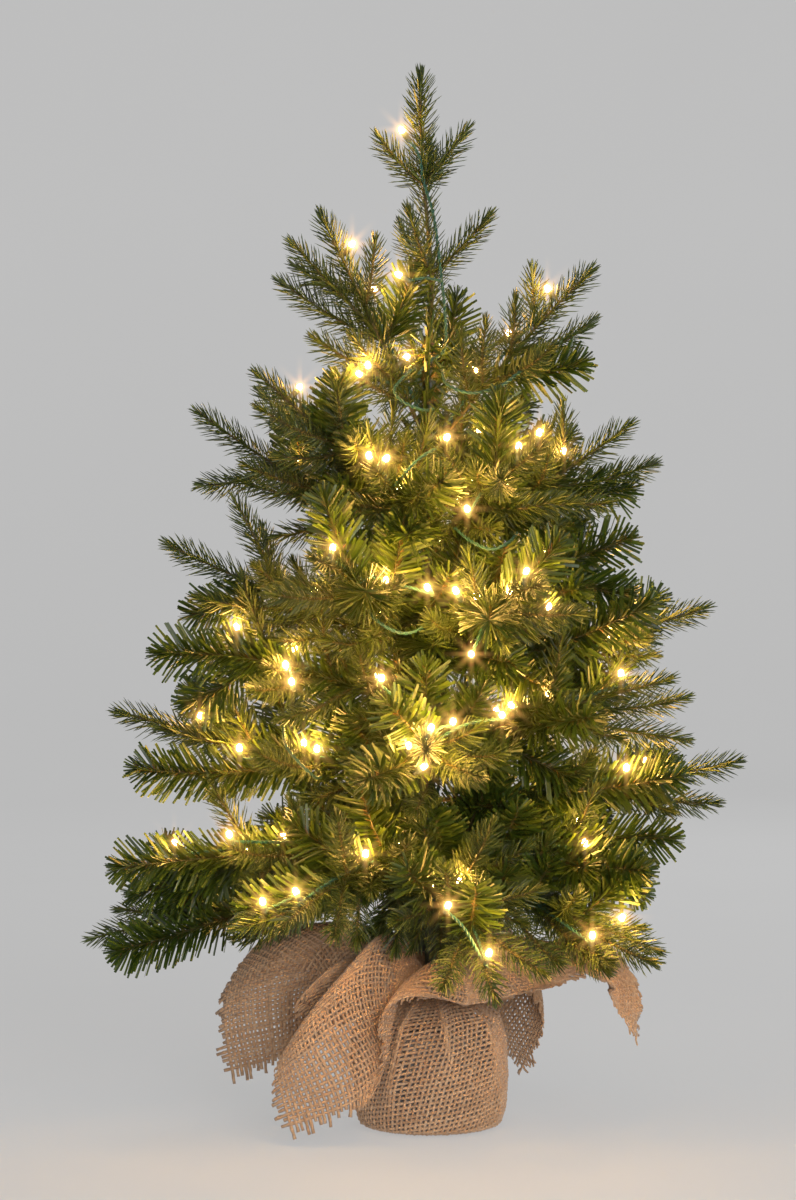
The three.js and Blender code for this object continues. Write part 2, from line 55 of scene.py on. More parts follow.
# Each branch: its name, the height of its bend on the pole, where its last tip ends, how far its stem
# bows up, the kind of its last tip, the places of its lamps, and its side tips. Each side tip has the
# place on the stem that it leaves, where it ends and its kind: m is moulded needles, f is cut film.
BRANCHES = [
    Branch("upper_left", 588, (-95, -22, 776), 2, "m", (0.3, 0.62, 0.8), [
        (0.45, (-121, -40, 750), "m"), (0.4, (-133, -8, 719), "m"), (0.55, (-45, -50, 753), "m"),
        (0.22, (-104, -45, 668), "m"), (0.14, (-72, -62, 640), "m")]),
    Branch("upper_right", 578, (140, -30, 728), 5, "m", (0.35, 0.55, 0.78), [
        (0.5, (145, 0, 685), "m"), (0.45, (72, -48, 704), "m"), (0.28, (46, -62, 684), "m"),
        (0.33, (104, -78, 656), "m"), (0.3, (92, 36, 662), "m")]),
    Branch("upper_back", 596, (22, 112, 692), 4, "m", (0.6,), [
        (0.4, (-44, 96, 668), "m"), (0.45, (76, 84, 680), "m"), (0.24, (-26, 8, 690), "m")]),
    Branch("second_left", 515, (-150, -62, 639), 0, "m", (0.5, 0.8), [
        (0.5, (-146, -96, 606), "m"), (0.42, (-78, -84, 630), "m"), (0.28, (-64, -128, 580), "m"),
        (0.35, (-124, 2, 612), "m"), (0.18, (-20, -84, 584), "m")]),
    Branch("second_far_left", 497, (-206, 38, 612), -9, "m", (0.6,), [
        (0.38, (-150, 84, 566), "m"), (0.42, (-168, -2, 548), "m")]),
    Branch("second_right", 500, (174, -30, 598), -8, "m", (0.32, 0.72), [
        (0.5, (198, 10, 563), "m"), (0.42, (156, -62, 526), "m"), (0.36, (98, -58, 592), "m"),
        (0.26, (108, 40, 584), "f")]),
    Branch("second_right_front", 488, (92, -120, 572), 6, "m", (0.3, 0.45, 0.8), [
        (0.4, (112, -92, 530), "m"), (0.45, (36, -126, 556), "m")]),
    Branch("second_front", 478, (-50, -142, 556), 8, "m", (0.5, 0.88), [
        (0.4, (-104, -106, 530), "m"), (0.5, (-6, -150, 536), "m")]),
    Branch("second_back", 510, (84, 150, 630), 6, "f", (0.55,), [
        (0.4, (8, 150, 612), "f"), (0.45, (132, 112, 590), "f"), (0.3, (-62, 106, 586), "m")]),
    Branch("third_left", 412, (-231, 15, 497), -8, "m", (0.2, 0.46), [
        (0.54, (-168, -12, 537), "m"), (0.4, (-203, -30, 448), "m"), (0.36, (-150, -68, 478), "m"),
        (0.3, (-122, 66, 482), "m")]),
    Branch("third_right_upper", 426, (174, -36, 500), 4, "f", (0.6,), [
        (0.4, (134, 22, 520), "f"), (0.35, (112, -84, 492), "m")]),
    Branch("third_right", 388, (244, 20, 441), -6, "m", (0.4, 0.75), [
        (0.3, (190, -48, 446), "f"), (0.5, (204, 62, 452), "f"), (0.42, (196, -20, 398), "m")]),
    Branch("third_front_left", 402, (-98, -188, 482), 10, "m", (0.5, 0.85), [
        (0.32, (-128, -96, 462), "m"), (0.36, (-34, -128, 466), "m"), (0.52, (-136, -160, 452), "m"),
        (0.56, (-52, -188, 454), "f")]),
    Branch("third_front_right", 396, (88, -192, 460), 10, "m", (0.5, 0.85), [
        (0.32, (112, -96, 428), "m"), (0.36, (22, -134, 444), "m"), (0.52, (128, -164, 436), "m"),
        (0.56, (44, -196, 430), "f")]),
    Branch("third_back", 410, (10, 214, 500), 10, "m", (0.7,), [
        (0.35, (-68, 130, 474), "f"), (0.38, (80, 130, 472), "f"), (0.55, (-44, 200, 478), "m"),
        (0.58, (58, 196, 474), "m")]),
    Branch("fourth_left_upper", 344, (-234, -60, 401), 18, "f", (0.22, 0.5), [
        (0.45, (-184, -4, 418), "f"), (0.4, (-150, -112, 372), "m")]),
    Branch("fourth_left", 290, (-276, 36, 351), -3, "m", (0.4, 0.75), [
        (0.34, (-255, -32, 304), "f"), (0.45, (-214, 74, 372), "f"), (0.5, (-238, -8, 340), "m"),
        (0.28, (-150, -72, 322), "m")]),
    Branch("fourth_right_upper", 320, (205, -60, 382), 2, "m", (0.28, 0.36, 0.5, 0.8), [
        (0.55, (222, -22, 364), "m"), (0.48, (220, -46, 328), "m"), (0.32, (134, -112, 352), "f"),
        (0.3, (142, 12, 384), "f")]),
    Branch("fourth_right", 276, (270, 15, 309), -6, "m", (0.4, 0.7), [
        (0.3, (216, -44, 300), "f"), (0.52, (247, -24, 274), "m"), (0.42, (208, 72, 312), "f")]),
    Branch("fourth_front", 300, (-6, -232, 330), 12, "m", (0.45, 0.8), [
        (0.32, (-74, -128, 318), "m"), (0.36, (62, -134, 322), "m"), (0.52, (-56, -206, 306), "f"),
        (0.56, (40, -214, 308), "m")]),
    Branch("fourth_back", 304, (-8, 246, 350), 12, "f", (0.6,), [
        (0.32, (-92, 146, 334), "m"), (0.36, (84, 150, 334), "f"), (0.52, (-64, 218, 322), "f"),
        (0.56, (50, 226, 324), "m")]),
    Branch("lower_left_upper", 240, (-270, -48, 222), 2, "f", (0.45, 0.8), [
        (0.45, (-258, -14, 196), "f"), (0.34, (-170, -112, 246), "m"), (0.3, (-140, 40, 262), "f")]),
    Branch("lower_left", 206, (-298, 26, 153), 6, "m", (0.6,), [
        (0.5, (-276, 72, 174), "m"), (0.45, (-272, -26, 148), "f"), (0.3, (-166, -74, 164), "m"),
        (0.32, (-140, 84, 190), "f")]),
    Branch("lower_right_upper", 234, (212, -34, 246), 4, "f", (0.6,), [
        (0.32, (182, -84, 222), "f"), (0.36, (150, 40, 266), "f")]),
    Branch("lower_right", 204, (193, -92, 156), 6, "m", (0.8,), [
        (0.5, (184, -44, 170), "m"), (0.42, (150, -128, 150), "m"), (0.32, (122, -12, 190), "m")]),
    Branch("lower_front", 216, (50, -212, 130), 20, "m", (0.4, 0.85), [
        (0.32, (80, -118, 182), "m"), (0.36, (-36, -134, 186), "m"), (0.52, (94, -180, 148), "m"),
        (0.56, (6, -202, 140), "m")]),
    Branch("lower_front_left", 224, (-124, -178, 184), 16, "m", (0.17, 0.45, 0.85), [
        (0.32, (-136, -84, 206), "f"), (0.36, (-50, -134, 210), "m"), (0.52, (-164, -142, 180), "m"),
        (0.56, (-78, -188, 178), "m")]),
    Branch("lower_back_left", 226, (-128, 206, 190), 16, "m", (0.7,), [
        (0.32, (-142, 98, 214), "f"), (0.36, (-44, 146, 214), "m"), (0.52, (-166, 168, 186), "m"),
        (0.56, (-76, 212, 186), "f")]),
    Branch("lower_back_right", 230, (138, 196, 196), 16, "f", (0.7,), [
        (0.32, (44, 140, 222), "m"), (0.36, (148, 92, 214), "f"), (0.52, (84, 206, 190), "f"),
        (0.56, (172, 156, 186), "m")]),
]

# Lamps on side tips: the branch, and for each lamp the number of the side tip and the place on it.
TIP_LAMPS = {
    "upper_left": [(4, 0.6)],
    "second_right": [(2, 0.7)],
    "second_right_front": [(0, 0.3)],
    "third_front_left": [(1, 0.2)],
    "third_front_right": [(1, 0.9), (2, 0.2), (0, 0.8)],
    "third_right": [(2, 0.5)],
    "fourth_left_upper": [(0, 0.7), (1, 0.4)],
    "fourth_left": [(0, 0.4), (3, 0.2)],
    "fourth_right": [(0, 0.6), (1, 0.5)],
    "fourth_front": [(2, 0.3)],
    "lower_left_upper": [(1, 0.9), (0, 0.2)],
    "lower_right_upper": [(0, 0.5)],
    "lower_right": [(1, 0.7)],
    "lower_front": [(1, 0.3)],
    "lower_front_left": [(2, 0.7)],
}
# Routes of the leader's core and of the pole's light wires, as in the CAD model.
LEADER_PATH = [(0, 0, 640), (0, 0, 668), (1, 0, 722), (-5, 0, 798), (-8, 0, 850), (-8, 0, 900)]
POLE_LIGHTS_PATH = [
    (-8, 20, 210.6), (-6, 18, 222), (0, 9.4, 236), (0, 9.4, 256), (6.8, 6.8, 280), (6.8, 6.8, 340),
    (6.8, 6.8, 440), (-1, 9.6, 458), (-4.8, 8.3, 476), (-4.8, 8.3, 560), (-5.8, 10, 602),
    (-11.4, 2, 620), (-10, -6.4, 636), (0, -11.8, 648), (12, -10.5, 657), (13, -10.5, 680),
    (9, -10.5, 722), (3, -9.4, 770), (-5, -8.6, 798), (-9, -8.4, 822),
]
# The two whorls of the leader's side shoots: where each leaves its core, and where its shoots end.
LEADER_WHORLS = [
    (LEADER_PATH[2], [(-21, -42, 779), (56, -5, 777), (-28, 38, 774)]),
    (LEADER_PATH[3], [(-49, -8, 843), (36, 4, 852), (0, 40, 846)]),
]


# ---- Node materials ----
MIX_COLOUR_A, MIX_COLOUR_B, MIX_COLOUR_OUT = 6, 7, 2  # a Mix node's sockets for colours


def new_material(name):
    material = bpy.data.materials.new(name)
    material.use_nodes = True
    tree = material.node_tree
    return material, tree, tree.nodes["Principled BSDF"]


def add(tree, kind, **settings):
    node = tree.nodes.new(kind)
    for key, value in settings.items():
        if key in node.inputs:
            node.inputs[key].default_value = value
        else:
            setattr(node, key, value)
    return node


def set_sockets(shader, **values):
    """Uniform values, set on the shader's own sockets. An underscore stands for a space in their names."""
    for label, value in values.items():
        shader.inputs[label.replace("_", " ")].default_value = value


def attribute(tree, name):
    return add(tree, "ShaderNodeAttribute", attribute_name=name).outputs["Fac"]


def noise(tree, scale, detail=3.0, roughness=0.55):
    coordinates = add(tree, "ShaderNodeTexCoord")
    node = add(tree, "ShaderNodeTexNoise", Scale=scale, Detail=detail, Roughness=roughness)
    tree.links.new(coordinates.outputs["Object"], node.inputs["Vector"])
    return node.outputs["Fac"]


def ramp(tree, source, stops):
    node = add(tree, "ShaderNodeValToRGB")
    elements = node.color_ramp.elements
    while len(elements) < len(stops):
        elements.new(0.5)
    for element, (place, colour) in zip(elements, stops):
        element.position = place
        element.color = (*colour, 1)
    tree.links.new(source, node.inputs["Fac"])
    return node.outputs["Color"]


def mix(tree, factor, under, over):
    """The plain colour over laid on what comes from the socket under."""
    node = add(tree, "ShaderNodeMix", data_type="RGBA")
    tree.links.new(factor, node.inputs["Factor"])
    tree.links.new(under, node.inputs[MIX_COLOUR_A])
    node.inputs[MIX_COLOUR_B].default_value = (*over, 1)
    return node.outputs[MIX_COLOUR_OUT]


def map_range(tree, source, low, high, out_low, out_high):
    node = add(tree, "ShaderNodeMapRange")
    for index, value in zip((1, 2, 3, 4), (low, high, out_low, out_high)):
        node.inputs[index].default_value = value
    tree.links.new(source, node.inputs[0])
    return node.outputs[0]


def bump(tree, shader, height, strength, distance):
    node = add(tree, "ShaderNodeBump", Strength=strength, Distance=distance)
    tree.links.new(height, node.inputs["Height"])
    tree.links.new(node.outputs["Normal"], shader.inputs["Normal"])


def needle_material(name, dark, middle, light, root, roughness):
    """Plastic needles: each has its own shade, in soft patches, and turns brown-yellow at its root."""
    material, tree, shader = new_material(name)
    shade = ramp(tree, attribute(tree, "tone"), [(0.0, dark), (0.5, middle), (1.0, light)])
    patches = noise(tree, 18.0)
    shade = mix(tree, map_range(tree, patches, 0.35, 0.7, 0.0, 0.35), shade, middle)
    near_root = map_range(tree, attribute(tree, "along"), 0.0, 0.22, 0.75, 0.0)
    colour = mix(tree, near_root, shade, root)
    tree.links.new(colour, shader.inputs["Base Color"])
    gloss = map_range(tree, noise(tree, 260.0), 0.3, 0.7, roughness - 0.07, roughness + 0.1)
    tree.links.new(gloss, shader.inputs["Roughness"])
    set_sockets(shader, Specular_IOR_Level=0.42)
    return material


def grained_material(name, low, high, scale, roughness,
                     bump_strength=0.2, bump_distance=0.0004, metallic=0.0):
    """Paint, plastic or cement: a fine grain between two shades that also changes the gloss."""
    material, tree, shader = new_material(name)
    grain = noise(tree, scale, 5.0)
    tree.links.new(ramp(tree, grain, [(0.3, low), (0.7, high)]), shader.inputs["Base Color"])
    gloss = map_range(tree, grain, 0.3, 0.7, roughness - 0.06, roughness + 0.08)
    tree.links.new(gloss, shader.inputs["Roughness"])
    set_sockets(shader, Metallic=metallic)
    bump(tree, shader, noise(tree, scale * 6, 4.0), bump_strength, bump_distance)
    return material


MOULDED = needle_material("moulded_needles", (0.013, 0.024, 0.003), (0.048, 0.07, 0.008),
                          (0.14, 0.17, 0.036), (0.11, 0.072, 0.01), 0.4)
FILM = needle_material("cut_film_needles", (0.01, 0.025, 0.003), (0.038, 0.066, 0.005),
                       (0.105, 0.14, 0.012), (0.065, 0.06, 0.008), 0.36)
FLECK = needle_material("brown_film_flecks", (0.11, 0.042, 0.01), (0.21, 0.085, 0.018),
                        (0.33, 0.16, 0.04), (0.12, 0.05, 0.012), 0.45)
STEM = grained_material("olive_stem", (0.06, 0.052, 0.016), (0.15, 0.105, 0.03), 300.0, 0.55)
WIRE = grained_material("green_wire", (0.018, 0.07, 0.045), (0.034, 0.115, 0.075), 120.0, 0.4, 0.08)
HOLDER = grained_material("lamp_holder", (0.045, 0.085, 0.06), (0.08, 0.13, 0.095), 220.0, 0.42, 0.08)
POLE_PAINT = grained_material("pole_paint", (0.012, 0.022, 0.013), (0.026, 0.04, 0.024), 90.0, 0.4, 0.15)

LAMP_STRENGTH = 120.0
# Each lamp has a small round light of its own just past its cap.
GLOW_POWER = 0.28
GLOW_POWER_TOP = 0.13  # in the sparse top, where the room's light counts for more
GLOW_FADES = (470, 650)  # heights between which the one turns into the other
GLOW_COLOUR = (1.0, 0.53, 0.11)
GLOW_RADIUS = 12
GLOW_HEIGHT = 15.5  # from the foot of the holder


def lamp_material():
    material, _, shader = new_material("warm_lamp")
    set_sockets(shader, Base_Color=(1.0, 0.85, 0.6, 1), Roughness=0.2,
                Emission_Color=(1.0, 0.52, 0.14, 1), Emission_Strength=LAMP_STRENGTH)
    return material


LAMP = lamp_material()


def yarn_material(name, dark, middle, light, fibre_scale):
    """Jute: each yarn has its own shade, with darker specks and fine hairs along it."""
    material, tree, shader = new_material(name)
    shade = ramp(tree, attribute(tree, "tone"), [(0.0, dark), (0.5, middle), (1.0, light)])
    fibres = noise(tree, fibre_scale, 5.0, 0.7)
    shade = mix(tree, map_range(tree, fibres, 0.35, 0.62, 0.6, 0.0), shade, dark)
    hairs = noise(tree, fibre_scale * 0.45, 2.0)
    shade = mix(tree, map_range(tree, hairs, 0.52, 0.72, 0.0, 0.6), shade, light)
    patches = noise(tree, 14.0)
    shade = mix(tree, map_range(tree, patches, 0.35, 0.7, 0.0, 0.3), shade, middle)
    tree.links.new(shade, shader.inputs["Base Color"])
    set_sockets(shader, Roughness=0.92, Specular_IOR_Level=0.15, Sheen_Weight=0.25, Sheen_Roughness=0.6)
    bump(tree, shader, fibres, 0.5, 0.0004)
    return material


BURLAP = yarn_material("jute_burlap", (0.3, 0.15, 0.07), (0.56, 0.335, 0.185), (0.74, 0.51, 0.32), 620.0)
TWINE = yarn_material("jute_twine", (0.17, 0.1, 0.045), (0.33, 0.22, 0.115), (0.47, 0.34, 0.19), 900.0)
CEMENT = grained_material("cast_cement", (0.3, 0.285, 0.26), (0.43, 0.415, 0.385), 160.0, 0.9, 0.6, 0.0008)
SOCKET = grained_material("socket_plastic", (0.014, 0.026, 0.016), (0.022, 0.036, 0.024), 240.0, 0.55, 0.15)
BOX_SHELL = grained_material("moulded_box", (0.016, 0.03, 0.019), (0.024, 0.041, 0.027), 420.0, 0.5, 0.35)
BUTTON_CAP = grained_material("button_rubber", (0.01, 0.012, 0.011), (0.018, 0.02, 0.018), 300.0, 0.42)
CELL_SLEEVE = grained_material("cell_sleeve", (0.2, 0.215, 0.23), (0.27, 0.285, 0.3), 50.0, 0.3, 0.05,
                               metallic=0.6)
CAD_FINISHES = {
    "trunk_pole": POLE_PAINT, "base_weight": CEMENT, "pole_socket": SOCKET,
    "battery_box": BOX_SHELL, "battery_cover": BOX_SHELL, "switch_button": BUTTON_CAP,
    "battery_cell_1": CELL_SLEEVE, "battery_cell_2": CELL_SLEEVE, "battery_cell_3": CELL_SLEEVE,
}


def finish_cad_nodes():
    """The rigid pieces keep their CAD shape and get their node material."""
    for node, material in CAD_FINISHES.items():
        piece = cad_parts[node]
        for slot in piece.material_slots:
            slot.material = material


# ---- Mesh building ----
def unit(v):
    return v / np.maximum(np.linalg.norm(v, axis=-1, keepdims=True), 1e-12)


def turned(first, second, angle):
    """Directions turned by an angle from the first towards the second."""
    return first * np.cos(angle)[..., None] + second * np.sin(angle)[..., None]


def on_circle(radius, angle, height):
    return np.stack([radius * np.cos(angle), radius * np.sin(angle), np.broadcast_to(height, angle.shape)],
                    axis=-1)


def add_object(name, data):
    thing = bpy.data.objects.new(name, data)
    bpy.context.scene.collection.objects.link(thing)
    return thing


class Part:
    """Vertices, faces and per-vertex values gathered for one mesh. Millimetres until it is made."""

    def __init__(self):
        self.points, self.loops, self.sizes, self.slots = [], [], [], []
        self.tone, self.along, self.materials, self.count = [], [], [], 0

    def put(self, points, faces, material, tone, along):
        """faces: a list of arrays of vertex numbers, one row a face, each array with one face size."""
        if material not in self.materials:
            self.materials.append(material)
        slot = self.materials.index(material)
        for rows in faces:
            self.loops.append((rows + self.count).ravel())
            self.sizes.append(np.full(len(rows), rows.shape[1]))
            self.slots.append(np.full(len(rows), slot))
        self.points.append(points)
        self.tone.append(np.broadcast_to(tone, len(points)))
        self.along.append(np.broadcast_to(along, len(points)))
        self.count += len(points)

    def make(self, name, smooth=False):
        mesh = bpy.data.meshes.new(name)
        points = np.concatenate(self.points) * MM
        loops, sizes = np.concatenate(self.loops), np.concatenate(self.sizes)
        mesh.vertices.add(len(points))
        mesh.vertices.foreach_set("co", points.ravel().astype(np.float32))
        mesh.loops.add(len(loops))
        mesh.loops.foreach_set("vertex_index", loops.astype(np.int32))
        mesh.polygons.add(len(sizes))
        starts = np.concatenate([[0], np.cumsum(sizes)[:-1]])
        mesh.polygons.foreach_set("loop_start", starts.astype(np.int32))
        mesh.polygons.foreach_set("loop_total", sizes.astype(np.int32))
        mesh.polygons.foreach_set("material_index", np.concatenate(self.slots).astype(np.int32))
        mesh.polygons.foreach_set("use_smooth", np.full(len(sizes), smooth))
        for label, values in (("tone", self.tone), ("along", self.along)):
            layer = mesh.attributes.new(label, "FLOAT", "POINT")
            layer.data.foreach_set("value", np.concatenate(values).astype(np.float32))
        for material in self.materials:
            mesh.materials.append(material)
        mesh.update(calc_edges=True)
        mesh.validate()
        return add_object(name, mesh)

    def finish(self, name, body, slot, replaced=None, smooth=False):
        """Make the mesh and say which body it rides and the CAD node that it stands for; slot is not used."""
        piece = self.make(name, smooth)
        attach(piece, body)
        if replaced:
            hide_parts(replaced)
        return piece


def put_blades(part, root, way, bend, length, width, thick, profile, material, tone, roll):
    """Needles as three-sided closed blades. profile: (place along the needle, share of its width).
    A last share of 0 makes a pointed needle."""
    count = len(root)
    pointed = profile[-1][1] == 0
    rings = len(profile) - pointed
    across = unit(np.cross(way, roll))
    over = np.cross(across, way)
    size = 3 * rings + pointed
    corners = np.empty((count, size, 3))
    for ring, (place, share) in enumerate(profile):
        middle = root + way * (length * place)[:, None] + bend * (length * place**2)[:, None]
        if share == 0:
            corners[:, -1] = middle
            continue
        half = across * (width * share / 2)[:, None]
        corners[:, 3 * ring] = middle - half
        corners[:, 3 * ring + 1] = middle + half
        corners[:, 3 * ring + 2] = middle + over * (thick * share)
    base = (np.arange(count) * size)[:, None, None]
    last = 3 * (rings - 1)
    if pointed:
        caps = np.array([[0, 2, 1]] + [[last + k, last + (k + 1) % 3, size - 1] for k in range(3)])
    else:
        caps = np.array([[0, 2, 1], [last, last + 1, last + 2]])
    sides, _ = ring_faces(rings, 3)
    faces = [(base + caps).reshape(-1, 3), (base + sides).reshape(-1, 4)]
    places = [place for place, share in profile for _ in range(3 if share else 1)]
    part.put(corners.reshape(-1, 3), faces, material, np.repeat(tone, size), np.tile(places, count))


def curve_frames(points):
    """Direction and two square directions at each point of a line, turned as little as possible."""
    along = unit(np.gradient(points, axis=0))
    first = np.array([0.0, 0.0, 1.0]) if abs(along[0][2]) < 0.9 else np.array([1.0, 0.0, 0.0])
    side = unit(np.cross(first, along[0]))
    sides = [side]
    for direction in along[1:]:
        side = unit(side - direction * side.dot(direction))
        sides.append(side)
    sides = np.array(sides)
    return along, sides, np.cross(along, sides)


def corner_angles(sides):
    return np.arange(sides) * 2 * np.pi / sides


def ring_faces(rings, sides):
    """The four-sided faces between rings of points that follow each other, and the two end faces."""
    k = np.arange(sides)
    after = (k + 1) % sides
    band = np.stack([k, after, sides + after, sides + k], axis=1)
    bands = band + sides * np.arange(rings - 1)[:, None, None]
    return [bands.reshape(-1, 4), np.array([k[::-1], k + sides * (rings - 1)])]


def put_tube(part, points, radius, sides, material):
    """A round closed tube along points, with one radius or one for each point."""
    points = np.asarray(points, float)
    _, side, over = curve_frames(points)
    radius = np.broadcast_to(radius, len(points))
    rim = turned(side[:, None], over[:, None], corner_angles(sides))
    ring_points = points[:, None] + rim * radius[:, None, None]
    places = np.repeat(np.linspace(0, 1, len(points)), sides)
    part.put(ring_points.reshape(-1, 3), ring_faces(len(points), sides), material, 0.5, places)


def travelled(points):
    """The distance along a line at each of its points."""
    steps = np.linalg.norm(np.diff(points, axis=0), axis=1)
    return np.concatenate([[0], np.cumsum(steps)])


def polyline(points, distance):
    """Points at distances along a line, going straight on past its end."""
    points = np.asarray(points, float)
    reached = travelled(points)
    inside = np.stack([np.interp(distance, reached, column) for column in points.T], axis=-1)
    onward = unit(points[-1] - points[-2])
    return inside + np.maximum(distance - reached[-1], 0)[..., None] * onward


def resample(points, count):
    return polyline(points, np.linspace(0, travelled(points)[-1], count))


def smooth_line(points, per_span=8):
    """A Catmull-Rom line through a list of points."""
    p = np.asarray(points, float)
    p = np.vstack([2 * p[0] - p[1], p, 2 * p[-1] - p[-2]])
    out = []
    for i in range(1, len(p) - 2):
        for t in np.arange(per_span) / per_span:
            a, b, c, d = p[i - 1], p[i], p[i + 1], p[i + 2]
            out.append(0.5 * (2 * b + (c - a) * t + (2 * a - 5 * b + 4 * c - d) * t * t
                              + (3 * b - a - 3 * c + d) * t**3))
    out.append(p[-2])
    return np.array(out)


def line_length(points):
    return float(np.linalg.norm(np.diff(points, axis=0), axis=1).sum())


# ---- Foliage ----
# Profiles of one needle: the place along it, and the share of its full width there.
MOULDED_PROFILE = [(0.0, 0.85), (0.4, 1.0), (0.85, 0.75), (1.0, 0)]
FILM_PROFILE = [(0.0, 0.8), (0.5, 1.0), (1.0, 0.9)]
FLECK_PROFILE = [(0.0, 0.8), (1.0, 0.5)]
GOLDEN_ANGLE = math.pi * (3 - math.sqrt(5))

# Needles of one kind: density on a millimetre of stem; roundness, 1 for a full brush and less for a comb;
# their angle to the stem, how much wider it gets inwards, their length and its least and greatest share.
# At a free end they close and shorten over closes_over, and taper over a longer stretch.
Needles = namedtuple("Needles", """density roundness turn_sway angle widens length shares closes_over closes
    shortens tapers angle_sway curl curl_sway width thick profile material""")
NEEDLES = {
    "m": Needles(density=1.85, roundness=1.0, turn_sway=0.25, angle=54, widens=12, length=18.5,
                 shares=(0.82, 1.05), closes_over=16, closes=0.7, shortens=0.38, tapers=0.22,
                 angle_sway=0.1, curl=0.4, curl_sway=0.05, width=(1.05, 1.4), thick=0.8,
                 profile=MOULDED_PROFILE, material=MOULDED),
    "f": Needles(density=2.7, roundness=0.45, turn_sway=0.2, angle=62, widens=0, length=29.5,
                 shares=(0.88, 1.04), closes_over=18, closes=0.4, shortens=0.55, tapers=0,
                 angle_sway=0.035, curl=0.05, curl_sway=0.022, width=(1.8, 2.6), thick=0.3,
                 profile=FILM_PROFILE, material=FILM),
}
WIDENS_OVER = 60
TAPERS_OVER = 34
TONES = (0.5, 0.24)  # middle and spread of the needles' shades
FLECK_DENSITY = 1.3
FLECK_ANGLE = (0.6, 1.15)
FLECK_LENGTH = (3.0, 6.5)
FLECK_WIDTH = 0.9
FLECK_THICK = 0.3


def scatter(points, density, rng):
    """Places for needles along a line: its length, how far along each is, its root and its frame."""
    length = line_length(points)
    count = max(int(length * density), 6)
    place = (np.arange(count) + rng.uniform(0, 1, count)) / count
    spot = place * (len(points) - 1)
    low = np.minimum(spot.astype(int), len(points) - 2)
    share = (spot - low)[:, None]
    frames = curve_frames(points)
    root = points[low] * (1 - share) + points[low + 1] * share
    along, side, over = (unit(f[low] * (1 - share) + f[low + 1] * share) for f in frames)
    return length, place, root, along, side, over


def put_needles(part, points, rng, kind, pointed=True, fullness=1.0):
    """Needles along a stem. At a free end they close round it: moulded ones as a bud, film ones blunt."""
    needles = NEEDLES[kind]
    length, place, root, along, side, over = scatter(points, needles.density * fullness, rng)
    count = len(place)
    turn = np.arange(count) * GOLDEN_ANGLE + rng.normal(0, needles.turn_sway, count)
    out = unit(side * np.cos(turn)[:, None] + over * (needles.roundness * np.sin(turn))[:, None])
    left = (1 - place) * length
    angle = np.radians(needles.angle + needles.widens * np.clip(left / WIDENS_OVER, 0, 1))
    size = needles.length * rng.uniform(*needles.shares, count)
    if pointed:
        closing = np.clip(1 - left / needles.closes_over, 0, 1)
        angle *= 1 - needles.closes * closing
        taper = 1 - needles.tapers + needles.tapers * np.clip(left / TAPERS_OVER, 0, 1)
        size *= (1 - needles.shortens * closing) * taper
    angle += rng.normal(0, needles.angle_sway, count)
    way = unit(turned(along, out, angle))
    bend = along * needles.curl + rng.normal(0, needles.curl_sway, (count, 3))
    tone = np.clip(rng.normal(*TONES, count), 0, 1)
    flat = kind == "f"
    roll = np.cross(along, way) + rng.normal(0, 0.3, (count, 3)) if flat else along
    put_blades(part, root, way, bend, size, rng.uniform(*needles.width, count), needles.thick,
               needles.profile, needles.material, tone, roll)
    if flat:
        put_flecks(part, points, rng)


def put_flecks(part, points, rng):
    """Short brown film flecks along the twisted core of a cut-film tip."""
    _, place, root, along, side, over = scatter(points, FLECK_DENSITY, rng)
    count = len(place)
    turn = rng.uniform(0, 2 * np.pi, count)
    out = turned(side, over, turn)
    angle = rng.uniform(*FLECK_ANGLE, count)
    way = unit(turned(along, out, angle))
    size = rng.uniform(*FLECK_LENGTH, count)
    put_blades(part, root, way, np.zeros((count, 3)), size, np.full(count, FLECK_WIDTH), FLECK_THICK,
               FLECK_PROFILE, FLECK, rng.uniform(0, 1, count), np.cross(along, way))


STEM_RADII = (1.9, 0.7)  # at the pole and at the tip
TIP_RADII = (1.6, 0.7)
LEADER_RADII = (2.6, 0.8)
STEM_POINTS = 40
TIP_POINTS = 14
TIP_SWAY = 1.5
TIP_SAG = 4  # how far the middle of a tip hangs below its two ends


def branch_point(branch, place):
    tip = np.array(branch.end, float)
    outward = unit(np.array([tip[0], tip[1], 0.0]))
    bend = outward * BRANCH_START + [0, 0, branch.root]
    middle = (bend + tip) / 2 + [0, 0, 2 * branch.arch]
    place = np.asarray(place, float)[..., None]
    return (1 - place) ** 2 * bend + 2 * place * (1 - place) * middle + place**2 * tip


def wire_side(branch, place):
    """The direction from a place on a stem to its light wires: square to the stem, nearly upright."""
    along = unit(branch_point(branch, place + 1e-4) - branch_point(branch, place - 1e-4))
    level = unit(np.cross([0, 0, 1], along))
    return np.cross(along, level)


def put_tip(part, start, end, kind, rng):
    """A tip on its own thin stem, curling up a little towards its end."""
    start, end = np.asarray(start, float), np.asarray(end, float)
    end = end - unit(end - start) * TIP_CLOSED
    t = np.linspace(0, 1, TIP_POINTS)[:, None]
    sway = rng.normal(0, TIP_SWAY, 3) - [0, 0, TIP_SAG]
    line = start + (end - start) * t + sway * 4 * t * (1 - t)
    put_tube(part, line, np.linspace(*TIP_RADII, TIP_POINTS), 6, STEM)
    put_needles(part, line, rng, kind)


# Short tips near the pole that fill the inside of the tree: places on the stem and lengths.
FILLER_PLACES = (0.05, 0.08, 0.12, 0.16, 0.21, 0.26, 0.32, 0.38, 0.45, 0.53, 0.61)
FILLER_LENGTH = (62, 92)
FILLER_ANGLE = math.radians(56)
FILLER_RISE = 0.22  # how much the fillers turn upwards
FILLER_TURN = 2.4  # about the stem, from one to the next, radians
FILLER_KINDS = "mfm"
